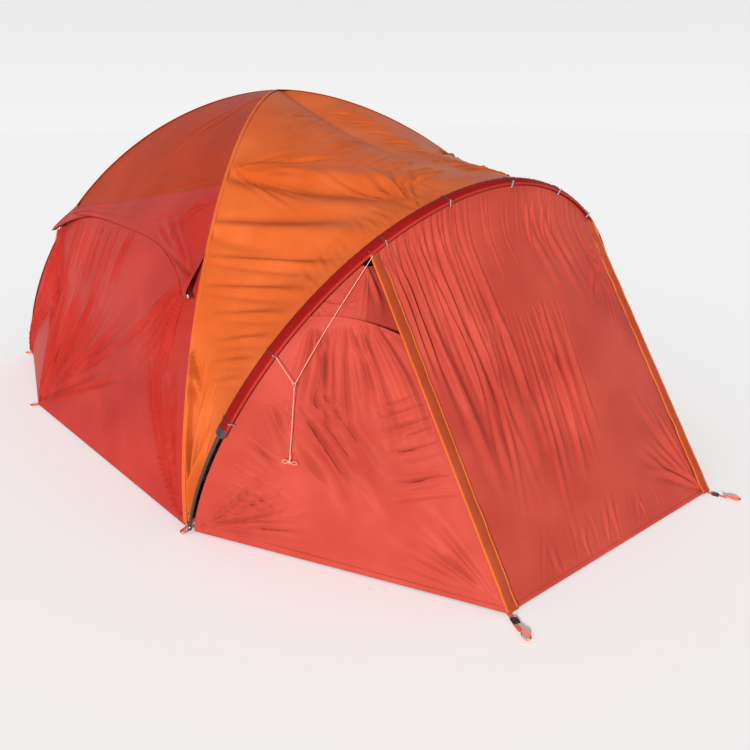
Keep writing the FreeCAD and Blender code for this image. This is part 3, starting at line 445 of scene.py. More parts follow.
for side, name in ((LEFT, "fly_roof_left"), (RIGHT, "fly_roof_right")):
    rows = roof_cut["left"] if side == LEFT else mirrored(roof_cut["left"])[:, ::-1]
    piece = sheet_piece(name + "_cloth", rows, roof_orange_painted_shade, "tent")
    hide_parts(name)
piece = sheet_piece("fly_roof_rear_cloth", roof_cut["rear"][:, ::-1], roof_orange_painted_shade, "tent")
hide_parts("fly_roof_rear")

# ---------------------------------------------------------------- eave hoods
# A red hood along each side and the back, held out below by a short pole across its edge.
# Its corners stand out past the dome poles as small ears.
BROW_LOW, BROW_LOW_END, EAR_OUT, EAR_TOP = 1.18, 1.0, 0.075, 1.22
BROW_OUT, REAR_BROW_OUT = 0.045, 0.120


def eave_height(along):
    return mix(BROW_LOW, BROW_LOW_END, np.abs(along) ** 4)


def eave_out(along, middle_out):
    return mix(middle_out, EAR_OUT, np.abs(along) ** 4)


def hood_rows(frame_of, hood_top, middle_out, shape):
    def out(along, z):
        low, high = eave_height(along), hood_top(along)
        over_brow = eave_out(along, middle_out) * (1 - np.clip((z - low) / (high - low), 0, 1) ** 2)
        over_pole = EAR_OUT * ease((EAR_TOP - z) / (EAR_TOP - BROW_LOW_END))
        return mix(over_brow, over_pole, ease((np.abs(along) - 0.75) / 0.25))

    return panel(frame_of, -1, 1, eave_height, hood_top, out, shape)


for name, frame_of, hood_top, middle_out, seed in (("left", left_frame, side_hood_top, BROW_OUT, 21),
                                                   ("rear", rear_frame, rear_hood_top, REAR_BROW_OUT, 22)):
    rows = hood_rows(frame_of, hood_top, middle_out, (60, 150))
    made = folds(seed, 9, frame_of(0.93, 1.15, 0.06),
                 [frame_of(0.1, 1.32, 0.03), frame_of(-0.2, 1.19, 0.045)],
                 0.011, 0.020)
    made += folds(seed + 2, 8, frame_of(-0.97, 1.1, 0.06),
                  [frame_of(-0.55, 1.37, 0.0), frame_of(-0.3, 1.2, 0.04)],
                  0.010, 0.024)
    made += folds(seed + 3, 5, frame_of(-0.95, 1.4, 0.0),
                  [frame_of(-0.6, 1.15, 0.05), frame_of(-0.2, 1.2, 0.045)],
                  0.008, 0.022)
    rows = creased(rows, made, fade(rows.shape[:2], 0.02, 0.02, 0.06, 0.08))
    roof_cut["hood_" + name] = rows
for side, rows, area in (("left", roof_cut["hood_left"], 0.55),
                         ("right", mirrored(roof_cut["hood_left"])[:, ::-1], 0.55),
                         ("rear", roof_cut["hood_rear"][:, ::-1], 0.66)):
    piece = sheet_piece("hood_" + side + "_cloth", rows, red, "tent")
    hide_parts("hood_" + side)

# ---------------------------------------------------------------- fly walls
# Red walls from under the hoods to the hem, pulled out to a peg near the middle of each
# side. A long diagonal seam joins two cuts, and folds fan out from the corners and the peg.
STAKE_OUT, STAKE_RISE, STAKE_BACK, HEM = 0.213, 0.72, 0.420, 0.006
WALL_LAP = 0.030


def wall_top(along):
    """Under the hoods, and up to where their ears leave the poles."""
    return mix(eave_height(along) + WALL_LAP, EAR_TOP + 0.004, np.abs(along) ** 6)


def wall_out(along, z, peg, middle_out):
    """How far the wall stands out: towards its peg below, and under its hood above."""
    pull = np.clip(1 - z / STAKE_RISE, 0, 1) ** 1.5
    reach = 1 - np.abs(along - peg) / np.where(along < peg, 1 + peg, 1 - peg)
    above_brow = 0.014 * ease((z - eave_height(along)) / 0.03)
    under_hood = (middle_out - 0.004 - above_brow) * ease((z - 0.62) / 0.55) * (1 - np.abs(along) ** 12)
    return STAKE_OUT * pull * reach + under_hood


def wall_rows(frame_of, start, end, peg, middle_out, shape):
    return panel(frame_of, start, end, lambda a: HEM + 0 * a, wall_top,
                 lambda a, z: wall_out(a, z, peg, middle_out), shape)


side_peg = STAKE_BACK / HALF_LENGTH


def on_left(along, z):
    return left_frame(along, z, wall_out(along, z, side_peg, BROW_OUT))


def on_rear(along, z):
    return rear_frame(along, z, wall_out(along, z, 0.0, REAR_BROW_OUT))


left_folds = folds(31, 13, on_left(side_peg, 0.02), [on_left(-0.75, 0.62), on_left(0.0, 1.12)], 0.026,
                   0.030)
left_folds += folds(32, 11, on_left(side_peg, 0.02), [on_left(0.2, 1.1), on_left(0.93, 0.75)], 0.026, 0.030)
left_folds += folds(33, 12, on_left(0.97, 0.02), [on_left(0.45, 0.75), on_left(0.95, 1.0)], 0.026, 0.024)
left_folds += folds(34, 14, on_left(0.95, 1.05), [on_left(0.3, 0.25), on_left(0.95, 0.2)], 0.023, 0.024)
left_folds += folds(35, 12, on_left(-0.97, 0.04), [on_left(-0.55, 0.75), on_left(-0.95, 0.95)], 0.026,
                    0.022)
left_folds += folds(36, 9, on_left(-0.93, 1.05), [on_left(-0.2, 0.45), on_left(-0.85, 0.3)], 0.023, 0.028)
left_folds += folds(37, 9, [on_left(-0.3, 1.18), on_left(0.75, 1.12)],
                    [on_left(-0.1, 0.55), on_left(0.6, 0.5)],
                    0.012, 0.026)
rear_folds = folds(41, 13, on_rear(0, 0.02), [on_rear(-0.9, 0.7), on_rear(0, 1.12)], 0.017, 0.030)
rear_folds += folds(42, 13, on_rear(0, 0.02), [on_rear(0.05, 1.1), on_rear(0.93, 0.7)], 0.017, 0.030)
rear_folds += folds(43, 12, on_rear(0.97, 0.02), [on_rear(0.45, 0.75), on_rear(0.95, 1.0)], 0.017, 0.024)
rear_folds += folds(44, 12, on_rear(-0.97, 0.02), [on_rear(-0.45, 0.75), on_rear(-0.95, 1.0)], 0.017, 0.024)
rear_folds += folds(45, 12, on_rear(0.95, 1.05), [on_rear(0.3, 0.25), on_rear(0.95, 0.2)], 0.014, 0.024)
rear_folds += folds(46, 12, on_rear(-0.95, 1.05), [on_rear(-0.3, 0.25), on_rear(-0.95, 0.2)], 0.014, 0.024)

wall_grid = (150, 110)
front_rows = wall_rows(left_frame, -1, side_peg, side_peg, BROW_OUT, wall_grid)
front_rows = creased(front_rows, left_folds, fade(wall_grid, 0.03, 0.001, 0.04, 0.05))
back_rows = wall_rows(left_frame, side_peg, 1, side_peg, BROW_OUT, wall_grid)
back_rows = creased(back_rows, left_folds, fade(wall_grid, 0.001, 0.03, 0.04, 0.05))
seam_middle = (front_rows[:, -1] + back_rows[:, 0]) / 2
front_rows[:, -1] = back_rows[:, 0] = seam_middle
for name, rows, flat, area in (("fly_wall_front", front_rows, (1.95, 1.40), 2.27),
                               ("fly_wall_back", back_rows, (1.15, 1.35), 1.29)):
    for side in ("left", "right"):
        placed = rows if side == "left" else mirrored(rows)[:, ::-1]
        piece = sheet_piece(name + "_" + side + "_cloth", placed, red, "tent")
        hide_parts(name + "_" + side)
rear_rows = wall_rows(rear_frame, -1, 1, 0.0, REAR_BROW_OUT, (150, 201))
rear_rows = creased(rear_rows, rear_folds, fade((150, 201), 0.02, 0.02, 0.04, 0.05))
piece = sheet_piece("fly_wall_rear_cloth", rear_rows[:, ::-1], red, "tent")
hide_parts("fly_wall_rear")

# ---------------------------------------------------------------- front roof
# The orange roof between the dome and the arch, one half each side of a ridge seam. It hangs
# in a shallow valley between the poles, with long folds across it and fans at its corners.
RIDGE_SAG = 0.095
BEHIND_SLEEVE = 0.020


def front_roof(across, up):
    """The left half: across is 0 on the dome's edge and 1 on the arch, up is 0 at the foot."""
    turn = mix(1.5, 89.2, up)
    dome = dome_edge(LEFT, FRONT, turn)
    arch = arch_offset(LEFT, mix(3.0, 90, up), 0.004, BEHIND_SLEEVE)
    rows = mix(dome, arch, across[..., None])
    sag = mix(0.2, 1.0, up ** 2) * RIDGE_SAG * np.sin(np.pi * across)
    to_axis = unit(rows * np.array([-1, 0, -1]) + np.array([0, 0, 1e-9]))
    return rows + to_axis * sag[..., None]


def on_front(across, up):
    return front_roof(np.array(across, float), np.array(up, float))


shape = (190, 130)
up, across = np.meshgrid(np.linspace(0, 1, shape[0]), np.linspace(0, 1, shape[1]), indexing="ij")
rows = front_roof(across, up)
# a broad shelf between two long folds, and level folds below it down to the arch
roof_folds = [(on_front(0.00, 0.500), on_front(1.02, 0.70), 0.050, 0.090, 0.00, 0.2),
              (on_front(0.00, 0.600), on_front(1.02, 0.86), -0.040, 0.110, 0.01, 0.2),
              (on_front(0.02, 0.448), on_front(0.98, 0.60), 0.034, 0.030, 0.01, 0.4),
              (on_front(0.02, 0.400), on_front(0.97, 0.53), 0.034, 0.028, 0.01, 0.4),
              (on_front(0.20, 0.375), on_front(0.97, 0.48), 0.026, 0.022, 0.01, 0.6),
              (on_front(0.30, 0.340), on_front(0.98, 0.43), 0.024, 0.020, 0.01, 0.6),
              (on_front(0.35, 0.310), on_front(0.98, 0.38), 0.020, 0.018, 0.01, 0.6),
              (on_front(0.40, 0.280), on_front(0.98, 0.34), 0.016, 0.016, 0.01, 0.6)]
roof_folds += folds(52, 14, on_front(0.5, 0.02), [on_front(0.05, 0.36), on_front(0.95, 0.30)], 0.014, 0.016)
roof_folds += folds(53, 12, on_front(0.03, 0.30), [on_front(0.15, 0.10), on_front(0.7, 0.22)], 0.012, 0.016)
roof_folds += folds(54, 9, on_front(0.03, 0.62), [on_front(0.5, 0.95), on_front(0.7, 0.62)], 0.016, 0.020)
roof_folds += folds(55, 14, [on_front(0.15, 0.97), on_front(0.85, 0.97)],
                    [on_front(0.05, 0.8), on_front(0.85, 0.74)],
                    0.012, 0.020)
roof_folds += folds(56, 11, on_front(0.97, 0.78), [on_front(0.4, 0.74), on_front(0.7, 0.98)], 0.014, 0.018)
roof_folds += folds(57, 12, [on_front(0.99, 0.86), on_front(0.99, 0.50)],
                    [on_front(0.75, 0.88), on_front(0.72, 0.52)],
                    0.010, 0.014)
rows = creased(rows, roof_folds, fade(shape, 0.03, 0.03, 0.02, 0.02))
rows[-1, :, 0] = 0.0
for name, placed in (("fly_roof_front_left", rows[:, ::-1]), ("fly_roof_front_right", mirrored(rows))):
    piece = sheet_piece(name + "_cloth", placed[::1], orange, "tent")
    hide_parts(name)

# ---------------------------------------------------------------- seams, hems and stitching
# Felled seams: both cloths folded into a flat strip and sewn with two rows of thread. The
# hems are the same strip at an edge. Thread is drawn a little coarse to show.
STITCH, STITCH_GAP, THREAD_WIDE = 0.006, 0.004, 0.0014


def surface_at(rows, u, v):
    """Points and normals on a grid at shares across and up."""
    normals = normals_of(rows)
    x = np.clip(np.asarray(u, float), 0, 1) * (rows.shape[1] - 1)
    y = np.clip(np.asarray(v, float), 0, 1) * (rows.shape[0] - 1)
    i, j = np.minimum(y.astype(int), rows.shape[0] - 2), np.minimum(x.astype(int), rows.shape[1] - 2)
    fy, fx = (y - i)[..., None], (x - j)[..., None]
    found = []
    for grid in (rows, normals):
        found.append(mix(mix(grid[i, j], grid[i, j + 1], fx), mix(grid[i + 1, j], grid[i + 1, j + 1], fx),
                         fy))
    return found[0], unit(found[1])


def along_path(path, count):
    """A polyline of pairs as evenly placed shares."""
    path = np.asarray(path, float)
    steps = np.concatenate([[0], np.cumsum(np.linalg.norm(np.diff(path, axis=0), axis=1))])
    wanted = np.linspace(0, steps[-1], count)
    return np.interp(wanted, steps, path[:, 0]), np.interp(wanted, steps, path[:, 1])


def strip_rows(centre, normals, half, lift):
    """A strip along a line: two edges that touch the cloth and a raised middle."""
    way = unit(np.gradient(centre, axis=0))
    side = unit(np.cross(normals, way))
    lines = []
    for across, height in ((-1, 0.2), (-0.86, 1), (-0.1, 1.15), (0.1, 1.15), (0.86, 1), (1, 0.2)):
        lines.append(centre + side * (half * across) + normals * (lift * height))
    return np.stack(lines), side


def thread(name, lines, made, body):
    """Rows of stitches as one mesh. Each line is (points, normals, side)."""
    vertices, faces = [], []
    for points, normals, side in lines:
        steps = np.concatenate([[0], np.cumsum(np.linalg.norm(np.diff(points, axis=0), axis=1))])
        starts = np.arange(0.003, steps[-1] - STITCH, STITCH + STITCH_GAP)
        ends = []
        for at in (starts, starts + STITCH):
            ends.append([np.stack([np.interp(at, steps, grid[:, k]) for k in range(3)], -1)
                         for grid in (points, normals, side)])
        for (p, n, s), (q, m, r) in zip(zip(*ends[0]), zip(*ends[1])):
            base = len(vertices)
            half, high = THREAD_WIDE / 2, THREAD_WIDE * 0.6
            middle, up, across = (p + q) / 2, (n + m) / 2, (s + r) / 2
            vertices += [p - s * half * 0.4, p + s * half * 0.4, middle - across * half,
                         middle + across * half,
                         q - r * half * 0.4, q + r * half * 0.4, middle + up * high]
            faces += [(base, base + 1, base + 6), (base + 1, base + 3, base + 6),
                      (base + 3, base + 5, base + 6),
                      (base + 5, base + 4, base + 6), (base + 4, base + 2, base + 6),
                      (base + 2, base, base + 6)]
    piece = solid(name, vertices, faces)
    piece.data.materials.append(made)
    go_with(piece, body)
    return piece


# Bonded polyester thread has a dull gleam and sits in the cloth's own colours.
orange_thread = plain_finish("bonded polyester thread orange", "#E8772E", "#F08A3C", 0.55, 2500)
red_thread = plain_finish("bonded polyester thread red", "#C03A30", "#D4493C", 0.55, 2500)


def seam(name, centre, normals, made, sewn, body, slot, half=0.008, lift=0.0016, rows_at=(-0.62, 0.62)):
    """A felled seam or hem over a line, with its stitching."""
    rows, side = strip_rows(centre, normals, half, lift)
    piece = sheet_piece(name, rows, made, body)
    lines = [(centre + side * (half * at) + normals * (lift * 1.12), normals, side) for at in rows_at]
    thread(name + "_thread", lines, sewn, body)
    return piece


def both(name, centre, normals, *rest, **named):
    """The same seam on the left and the right."""
    seam(name + "_left", centre, normals, *rest, **named)
    seam(name + "_right", mirrored(centre)[::-1], mirrored(normals)[::-1], *rest, **named)


turns = np.linspace(1.5, 89.6, 260)
ridge = dome_edge(LEFT, FRONT, turns)
both("ridge_seam_front", ridge, unit(point(-0.8 + 0 * turns, -0.62, 0.35 + 0.9 * (turns / 90) ** 2)),
     orange,
     orange_thread, "tent", "fabric_orange", half=0.010, lift=0.003)
ridge = dome_edge(LEFT, BACK, turns[turns > 42])
both("ridge_seam_back", ridge, unit(point(-0.7 + 0 * turns[turns > 42], 0.7,
                                          0.35 + 0.9 * (turns[turns > 42] / 90) ** 2)),
     orange, orange_thread, "tent", "fabric_orange", half=0.010, lift=0.003)
low_ridge = dome_edge(LEFT, BACK, turns[turns < 44])
both("corner_seam_back", low_ridge, unit(point(-0.7 + 0 * turns[turns < 44], 0.7, 0.2)), red, red_thread,
     "tent", "fabric_red", half=0.010, lift=0.003)
u = np.linspace(0.004, 0.996, 200)
centre, normals = surface_at(roof_cut["left"], u, 0 * u + 0.004)
both("hood_seam_side", centre, normals, orange, orange_thread, "tent", "fabric_orange")
centre, normals = surface_at(roof_cut["rear"][:, ::-1], u, 0 * u + 0.004)
seam("hood_seam_rear", centre, -normals, orange, orange_thread, "tent", "fabric_orange")
centre, normals = surface_at(roof_cut["hood_left"], u, 0 * u)
both("eave_hem_side", centre, normals, red, red_thread, "tent", "fabric_red", half=0.007, lift=0.003)
centre, normals = surface_at(roof_cut["hood_rear"][:, ::-1], u, 0 * u)
seam("eave_hem_rear", centre, -normals, red, red_thread, "tent", "fabric_red", half=0.007, lift=0.003)


def wall_share(z, along):
    top = wall_top(along)
    return np.arcsin(np.clip((z - HEM) / (top - HEM), 0, 1)) * 2 / np.pi


cut_along, cut_high = along_path([(side_peg - 0.004, 0.985), (-0.10, 0.88), (-0.27, 0.84), (-0.65, 0.63),
                                  (-0.84, 0.377),
                                  (-0.99, 0.03)], 200)
centre, normals = surface_at(front_rows, (cut_along + 1) / (side_peg + 1), wall_share(cut_high, cut_along))
both("wall_cut_seam", centre, normals, red, red_thread, "tent", "fabric_red", half=0.006)
cut_high = np.linspace(0.02, 1.16, 160)
centre, normals = surface_at(back_rows, 0 * cut_high, wall_share(cut_high, side_peg))
both("wall_middle_seam", centre, normals, red, red_thread, "tent", "fabric_red", half=0.006)
for name, rows in (("wall_hem_front", front_rows), ("wall_hem_back", back_rows)):
    centre, normals = surface_at(rows, u, 0 * u + 0.006)
    both(name, centre, normals, red, red_thread, "tent", "fabric_red", half=0.010)
centre, normals = surface_at(rear_rows[:, ::-1], u, 0 * u + 0.006)
seam("wall_hem_rear", centre, -normals, red, red_thread, "tent", "fabric_red", half=0.010)

# ---------------------------------------------------------------- arch sleeve
# A dark red sleeve sewn along the front roof's edge, with the arch pole inside. Its front
# edge is bound in brighter tape, and it puckers where the curve shortens it.
SLEEVE_HALF, SLEEVE_DEEP, SLEEVE_START = 0.030, 0.0135, 0.529


def arch_turn_at_height(z):
    return np.degrees(np.arcsin((z / math.cos(ARCH_LEAN) / ARCH_HEIGHT) ** (ARCH_RISE_ROUND / 2)))


def over_arch(turn_of_both, inward, back):
    """Beside the whole arch: turn_of_both runs from the left foot at 0 to the right foot at 180."""
    turn_of_both = np.asarray(turn_of_both, float)
    left = arch_offset(LEFT, np.minimum(turn_of_both, 90), inward, back)
    right = arch_offset(RIGHT, np.minimum(180 - turn_of_both, 90), inward, back)
    return np.where((turn_of_both <= 90)[..., None], left, right)


start = float(arch_turn_at_height(SLEEVE_START))
turns = np.linspace(start, 180 - start, 520)[None, :]
angle = np.linspace(0, 2 * np.pi, 29)[:, None]
rng = np.random.default_rng(61)
pucker = sum(rng.uniform(0.3, 1) * np.sin(turns * rng.uniform(2.2, 5.5) + angle * rng.integers(1, 4)
                                          + rng.uniform(0, 6))
             for _ in range(7)) / 7
pinch = np.where(np.cos(angle) < 0, 0.55 + 0.45 * (1 + np.cos(angle)), 1.0)
deep = -(np.sin(angle) * SLEEVE_DEEP * (0.75 + 0.25 * pinch) + 0 * turns) * (1 + 0.22 * pucker)
wide = np.cos(angle) * SLEEVE_HALF * (1 + 0.03 * pucker) + 0 * turns
rows = over_arch(turns + 0 * angle, deep, wide)
piece = sheet_piece("arch_sleeve_cloth", rows, dark_red, "tent")
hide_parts("arch_sleeve")
edge_turns = np.linspace(start, 180 - start, 520)
front_edge = over_arch(edge_turns, -0.001, -SLEEVE_HALF + 0.0005)
edge_out = unit(front_edge - over_arch(edge_turns, 0.010, -SLEEVE_HALF + 0.012))
tape, _ = strip_rows(front_edge, edge_out, 0.006, 0.0015)
sheet_piece("sleeve_binding", tape, red, "tent")
for side in (LEFT, RIGHT):
    cuff_turns = np.linspace(start - 0.35, start + 1.1, 12)[None, :] + 0 * angle
    at = cuff_turns if side == LEFT else 180 - cuff_turns
    cuff = over_arch(at, -(np.sin(angle) * (SLEEVE_DEEP + 0.0015)), np.cos(angle) * (SLEEVE_HALF + 0.0015))
    side_name = "left" if side == LEFT else "right"
    piece = sheet_piece("sleeve_cuff_" + side_name, cuff, black_nylon, "tent")

# ---------------------------------------------------------------- porch front and crown
# One broad red sheet from the arch to the hem: above the hinge line it is the crown, below
# it the door that zips up both sides. It gathers under the sleeve and hangs in soft folds.
DOOR_HALF_TOP, DOOR_TOP, PORCH_FRONT, PORCH_DEPTH = 0.738, 1.2405, 1.480, 1.332
PORCH_Y = BODY_Y - HALF_LENGTH - PORCH_DEPTH
CORNER_TURN = float(arch_turn_at_x(DOOR_HALF_TOP))
door_corner = arch_point(LEFT, CORNER_TURN)
FULLNESS = 0.55
HINGE = (0.0, -1.41354, 1.24190)
BELOW_HINGE = (0.0, -1.41354 - 0.12 * 0.5754, 1.24190 - 0.12 * 0.8179)
UNDER_SLEEVE, FORWARD = 0.008, 0.016
AT_HINGE = ("tent", "porch_door", HINGE, BELOW_HINGE)


def door_edge(z, shift):
    """The left edge of the front door at a height, moved outwards."""
    share = (np.asarray(z, float) / door_corner[2])[..., None]
    foot = np.array([-PORCH_FRONT / 2, PORCH_Y, 0])
    return mix(foot, door_corner, share) - np.array([1.0, 0, 0]) * np.asarray(shift, float)[..., None]


door_up = unit(door_edge(1.0, 0) - door_edge(0.0, 0))
door_out = unit(np.cross([1.0, 0, 0], door_up))
door_out *= -np.sign(door_out[1])


def under_arch(across):
    """Where the sheet meets the sleeve: across runs from -1 to 1."""
    turn = arch_turn_at_x(np.abs(across) * (DOOR_HALF_TOP - 0.004))
    return over_arch(np.where(across < 0, turn, 180 - turn), UNDER_SLEEVE, -FORWARD)


def taut(across, z):
    """The straight way from the hem to the arch."""
    low = (np.array([-1.0, 1, 1]) * door_edge(HEM, -0.006)
           * np.stack([across, 1 + 0 * across, 1 + 0 * across], -1))
    high = under_arch(across)
    return mix(low, high, np.clip((z - HEM) / (high[..., 2] - HEM), 0, 1)[..., None])


def door_point(across, z):
    """On the door, which is a little fuller in the middle than its flat cut."""
    edge = door_edge(z, -0.006)
    flat = edge * np.stack([-across, 1 + 0 * across, 1 + 0 * across], -1)
    return mix(flat, taut(across, z), FULLNESS * ease(z / 0.5)[..., None])


def crown_point(across, up):
    """Above the hinge line: the sheet bends smoothly on to the arch."""
    low, high = door_point(across, DOOR_TOP + 0 * across), under_arch(across)
    below = door_point(across, DOOR_TOP - 0.10 + 0 * across)
    reach = np.linalg.norm(high - low, axis=-1, keepdims=True)
    knee = low + unit(low - below) * reach * 0.45
    up = up[..., None]
    return (1 - up) ** 2 * low + 2 * up * (1 - up) * knee + up ** 2 * high


def at_door(across, z):
    return door_point(np.array(across, float), np.array(z, float))


def at_arch(across):
    return crown_point(np.array(across, float), np.array(1.0))


door_folds = folds(71, 26, [at_arch(-0.97), at_arch(-0.42)], [at_door(-0.95, 0.55), at_door(-0.40, 0.62)],
                   0.011, 0.013, bow=0.02)
door_folds += folds(72, 9, [at_arch(-0.9), at_arch(-0.35)], [at_door(-0.8, 0.25), at_door(-0.3, 0.15)],
                    0.014, 0.026, bow=0.03)
door_folds += folds(73, 15, [at_door(-0.65, 0.95), at_door(0.22, 0.98)],
                    [at_door(-0.78, 0.12), at_door(0.10, 0.10)],
                    0.012, 0.022, bow=0.02)
door_folds += folds(74, 9, at_door(0.97, 0.03), [at_door(0.25, 0.22), at_door(0.70, 0.75)], 0.011, 0.022,
                    bow=0.02)
door_folds += folds(75, 10, [at_arch(0.1), at_arch(0.85)], [at_door(0.35, 0.85), at_door(0.9, 0.8)], 0.006,
                    0.028)
door_folds += folds(76, 12, [at_door(-0.8, 0.02), at_door(0.5, 0.02)],
                    [at_door(-0.7, 0.22), at_door(0.55, 0.25)],
                    0.006, 0.016)
door_folds += folds(77, 9, [at_arch(-0.3), at_arch(0.5)], [at_door(-0.25, 1.05), at_door(0.4, 1.1)], 0.007,
                    0.014)
door_folds += folds(78, 8, at_door(0.95, 1.2), [at_door(0.35, 0.85), at_door(0.85, 0.6)], 0.007, 0.020)
shape, crown_shape = (170, 240), (46, 240)
up, across = np.meshgrid(np.linspace(0, 1, shape[0]), np.linspace(-1, 1, shape[1]), indexing="ij")
door_rows = door_point(across, mix(HEM, DOOR_TOP, up))
up_crown, across_crown = np.meshgrid(np.linspace(0, 1, crown_shape[0]), np.linspace(-1, 1, crown_shape[1]),
                                    indexing="ij")
crown_rows = crown_point(across_crown, up_crown)
whole = np.concatenate([door_rows, crown_rows[1:]])
belly = 0.020 * np.cos(np.pi / 2 * across) * np.sin(np.pi * up ** 0.8)
belly = np.concatenate([belly, np.zeros((crown_shape[0] - 1, 240))])
whole = creased(whole, door_folds, fade(whole.shape[:2], 0.03, 0.03, 0.02, 0.012), billow=belly)
door_rows, crown_rows = whole[:shape[0]], whole[shape[0] - 1:]
piece = sheet_piece("front_door_cloth", door_rows, porch_red_painted_light, AT_HINGE)
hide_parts("front_door")
piece = sheet_piece("porch_crown_cloth", crown_rows, porch_red_painted_light, "tent")
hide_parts("porch_crown")
u = np.linspace(0.004, 0.996, 260)
centre, normals = surface_at(door_rows, u, 0 * u + 0.007)
seam("door_hem", centre, normals, porch_red_painted_light, red_thread, "porch_door", "fabric_red", half=0.010)

# ---------------------------------------------------------------- porch side walls
# A red wall from the arch to each side of the door. Its top edge hangs free below the vent,
# and long slack folds run down from it towards the door's foot.
LOWER_TURN, SIDE_TOP = 46.0, 0.963


def porch_wall(across, up):
    """The left wall: across is 0 at the arch and 1 at the door, up is 1 at its top edge."""
    arch = arch_offset(LEFT, mix(2.2, LOWER_TURN, up), UNDER_SLEEVE + 0.006, -FORWARD)
    arch[..., 2] = np.maximum(arch[..., 2], HEM)
    arch[..., 2] = np.where(up <= 0, HEM, arch[..., 2])
    front = door_edge(mix(HEM, SIDE_TOP, up), 0.004)
    rows = mix(arch, front, across[..., None])
    rows[..., 2] += 0.030 * np.sin(np.pi * across) * ease((up - 0.75) / 0.25)
    return rows


def at_wall(across, up):
    return porch_wall(np.array(across, float), np.array(up, float))


wall_folds = folds(81, 9, [at_wall(0.12, 0.93), at_wall(0.75, 0.99)],
                   [at_wall(0.30, 0.35), at_wall(0.92, 0.45)],
                   0.020, 0.030, bow=0.04)
wall_folds += folds(82, 8, [at_wall(0.10, 0.62), at_wall(0.40, 0.72)],
                    [at_wall(0.55, 0.10), at_wall(0.88, 0.12)],
                    0.018, 0.034, bow=0.05)
wall_folds += folds(83, 9, [at_wall(0.98, 0.80), at_wall(0.98, 0.40)],
                    [at_wall(0.62, 0.66), at_wall(0.65, 0.30)],
                    0.010, 0.018, bow=0.01)
wall_folds += folds(84, 10, [at_wall(0.04, 0.12), at_wall(0.10, 0.50)],
                    [at_wall(0.30, 0.04), at_wall(0.45, 0.30)],
                    0.008, 0.018, bow=0.02)
wall_folds += folds(85, 8, at_wall(0.03, 0.02), [at_wall(0.75, 0.10), at_wall(0.35, 0.5)], 0.010, 0.022,
                    bow=0.02)
wall_folds += folds(86, 7, at_wall(0.98, 0.03), [at_wall(0.45, 0.12), at_wall(0.7, 0.5)], 0.009, 0.024,
                    bow=0.02)
shape = (170, 190)
up, across = np.meshgrid(np.linspace(0, 1, shape[0]), np.linspace(0, 1, shape[1]), indexing="ij")
rows = porch_wall(across, up)
slack = -0.018 * np.sin(np.pi * across) * np.sin(np.pi * np.clip(up, 0, 1) ** 0.7)
# The wall lies calm where the guy cord's tail hangs against it.
TAIL_CLEAR, TAIL_CALM = 0.07, 0.85
tail_top, tail_end = point(-1.1314, -1.3738, 0.77), point(-1.1919, -1.4078, 0.41)
tail_way = tail_end - tail_top
share = np.clip((rows - tail_top) @ tail_way / (tail_way @ tail_way), 0, 1)
beside_tail = np.linalg.norm(rows - tail_top - share[..., None] * tail_way, axis=-1)
calm = 1 - TAIL_CALM * np.exp(-(beside_tail / TAIL_CLEAR) ** 2)
wall_edges = fade(shape, 0.03, 0.03, 0.03, 0.0)
wall_left = creased(creased(rows, wall_folds, wall_edges * calm), [], wall_edges, billow=slack)
wall_left[..., 2] = np.maximum(wall_left[..., 2], 0.003)
for name, placed in (("porch_wall_left", wall_left), ("porch_wall_right", mirrored(wall_left)[:, ::-1])):
    piece = sheet_piece(name + "_cloth", placed, porch_red_painted_light, "tent")
    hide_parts(name)
u = np.linspace(0.004, 0.996, 220)
centre, normals = surface_at(wall_left, u, 0 * u + 0.008)
both("porch_hem", centre, normals, porch_red_painted_light, red_thread, "tent", "fabric_red", half=0.010)
centre, normals = surface_at(wall_left, u, 0 * u + 0.994)
both("porch_wall_top_hem", centre, normals, porch_red_painted_light, red_thread, "tent", "fabric_red", half=0.007)

# ---------------------------------------------------------------- porch vents
# Behind each porch wall's free edge a second sheet closes the gap up to the arch. It folds
# back on itself, so its front half turns away from the light.
VENT_DEEP, VENT_FOLD_DEEP = 0.17, 0.030


def porch_vent(across, up):
    arch = arch_offset(LEFT, mix(LOWER_TURN - 4, CORNER_TURN - 3, up), UNDER_SLEEVE, 0.0)
    front = door_edge(mix(SIDE_TOP - 0.05, door_corner[2] - 0.07, up), 0.030)
    rows = mix(arch, front, across[..., None])
    inward = unit([1, 0.6, 0])
    fold = mix(0.62, 0.72, up)
    deep = np.where(across < fold, VENT_FOLD_DEEP * across / fold,
                    VENT_FOLD_DEEP + (VENT_DEEP - VENT_FOLD_DEEP) * (across - fold) / (1 - fold))
    return rows + inward * (deep * (1 - 0.45 * up))[..., None]


shape = (70, 90)
up, across = np.meshgrid(np.linspace(0, 1, shape[0]), np.linspace(0, 1, shape[1]), indexing="ij")
rows = porch_vent(across, up)
vent_folds = folds(91, 5, rows[-2, 60], [rows[0, 20], rows[0, 85]], 0.006, 0.016)
vent_folds += folds(92, 5, rows[30, 2], [rows[2, 40], rows[40, 60]], 0.004, 0.014)
vent_left = creased(rows, vent_folds, fade(shape, 0.04, 0.04, 0.02, 0.04))
for name, placed in (("left", vent_left), ("right", mirrored(vent_left)[:, ::-1])):
    piece = sheet_piece("porch_vent_" + name + "_cloth", placed, porch_red_painted_light, "tent")
    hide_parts("porch_vents")

# ---------------------------------------------------------------- storm flaps
# Orange strips down both sides of the door that cover its zips, hemmed on both long edges
# and slightly slack, so they ripple across.
FLAP_WIDE, FLAP_LAP, FLAP_LIFT, FLAP_TOP = 0.065, 0.018, 0.010, 1.275


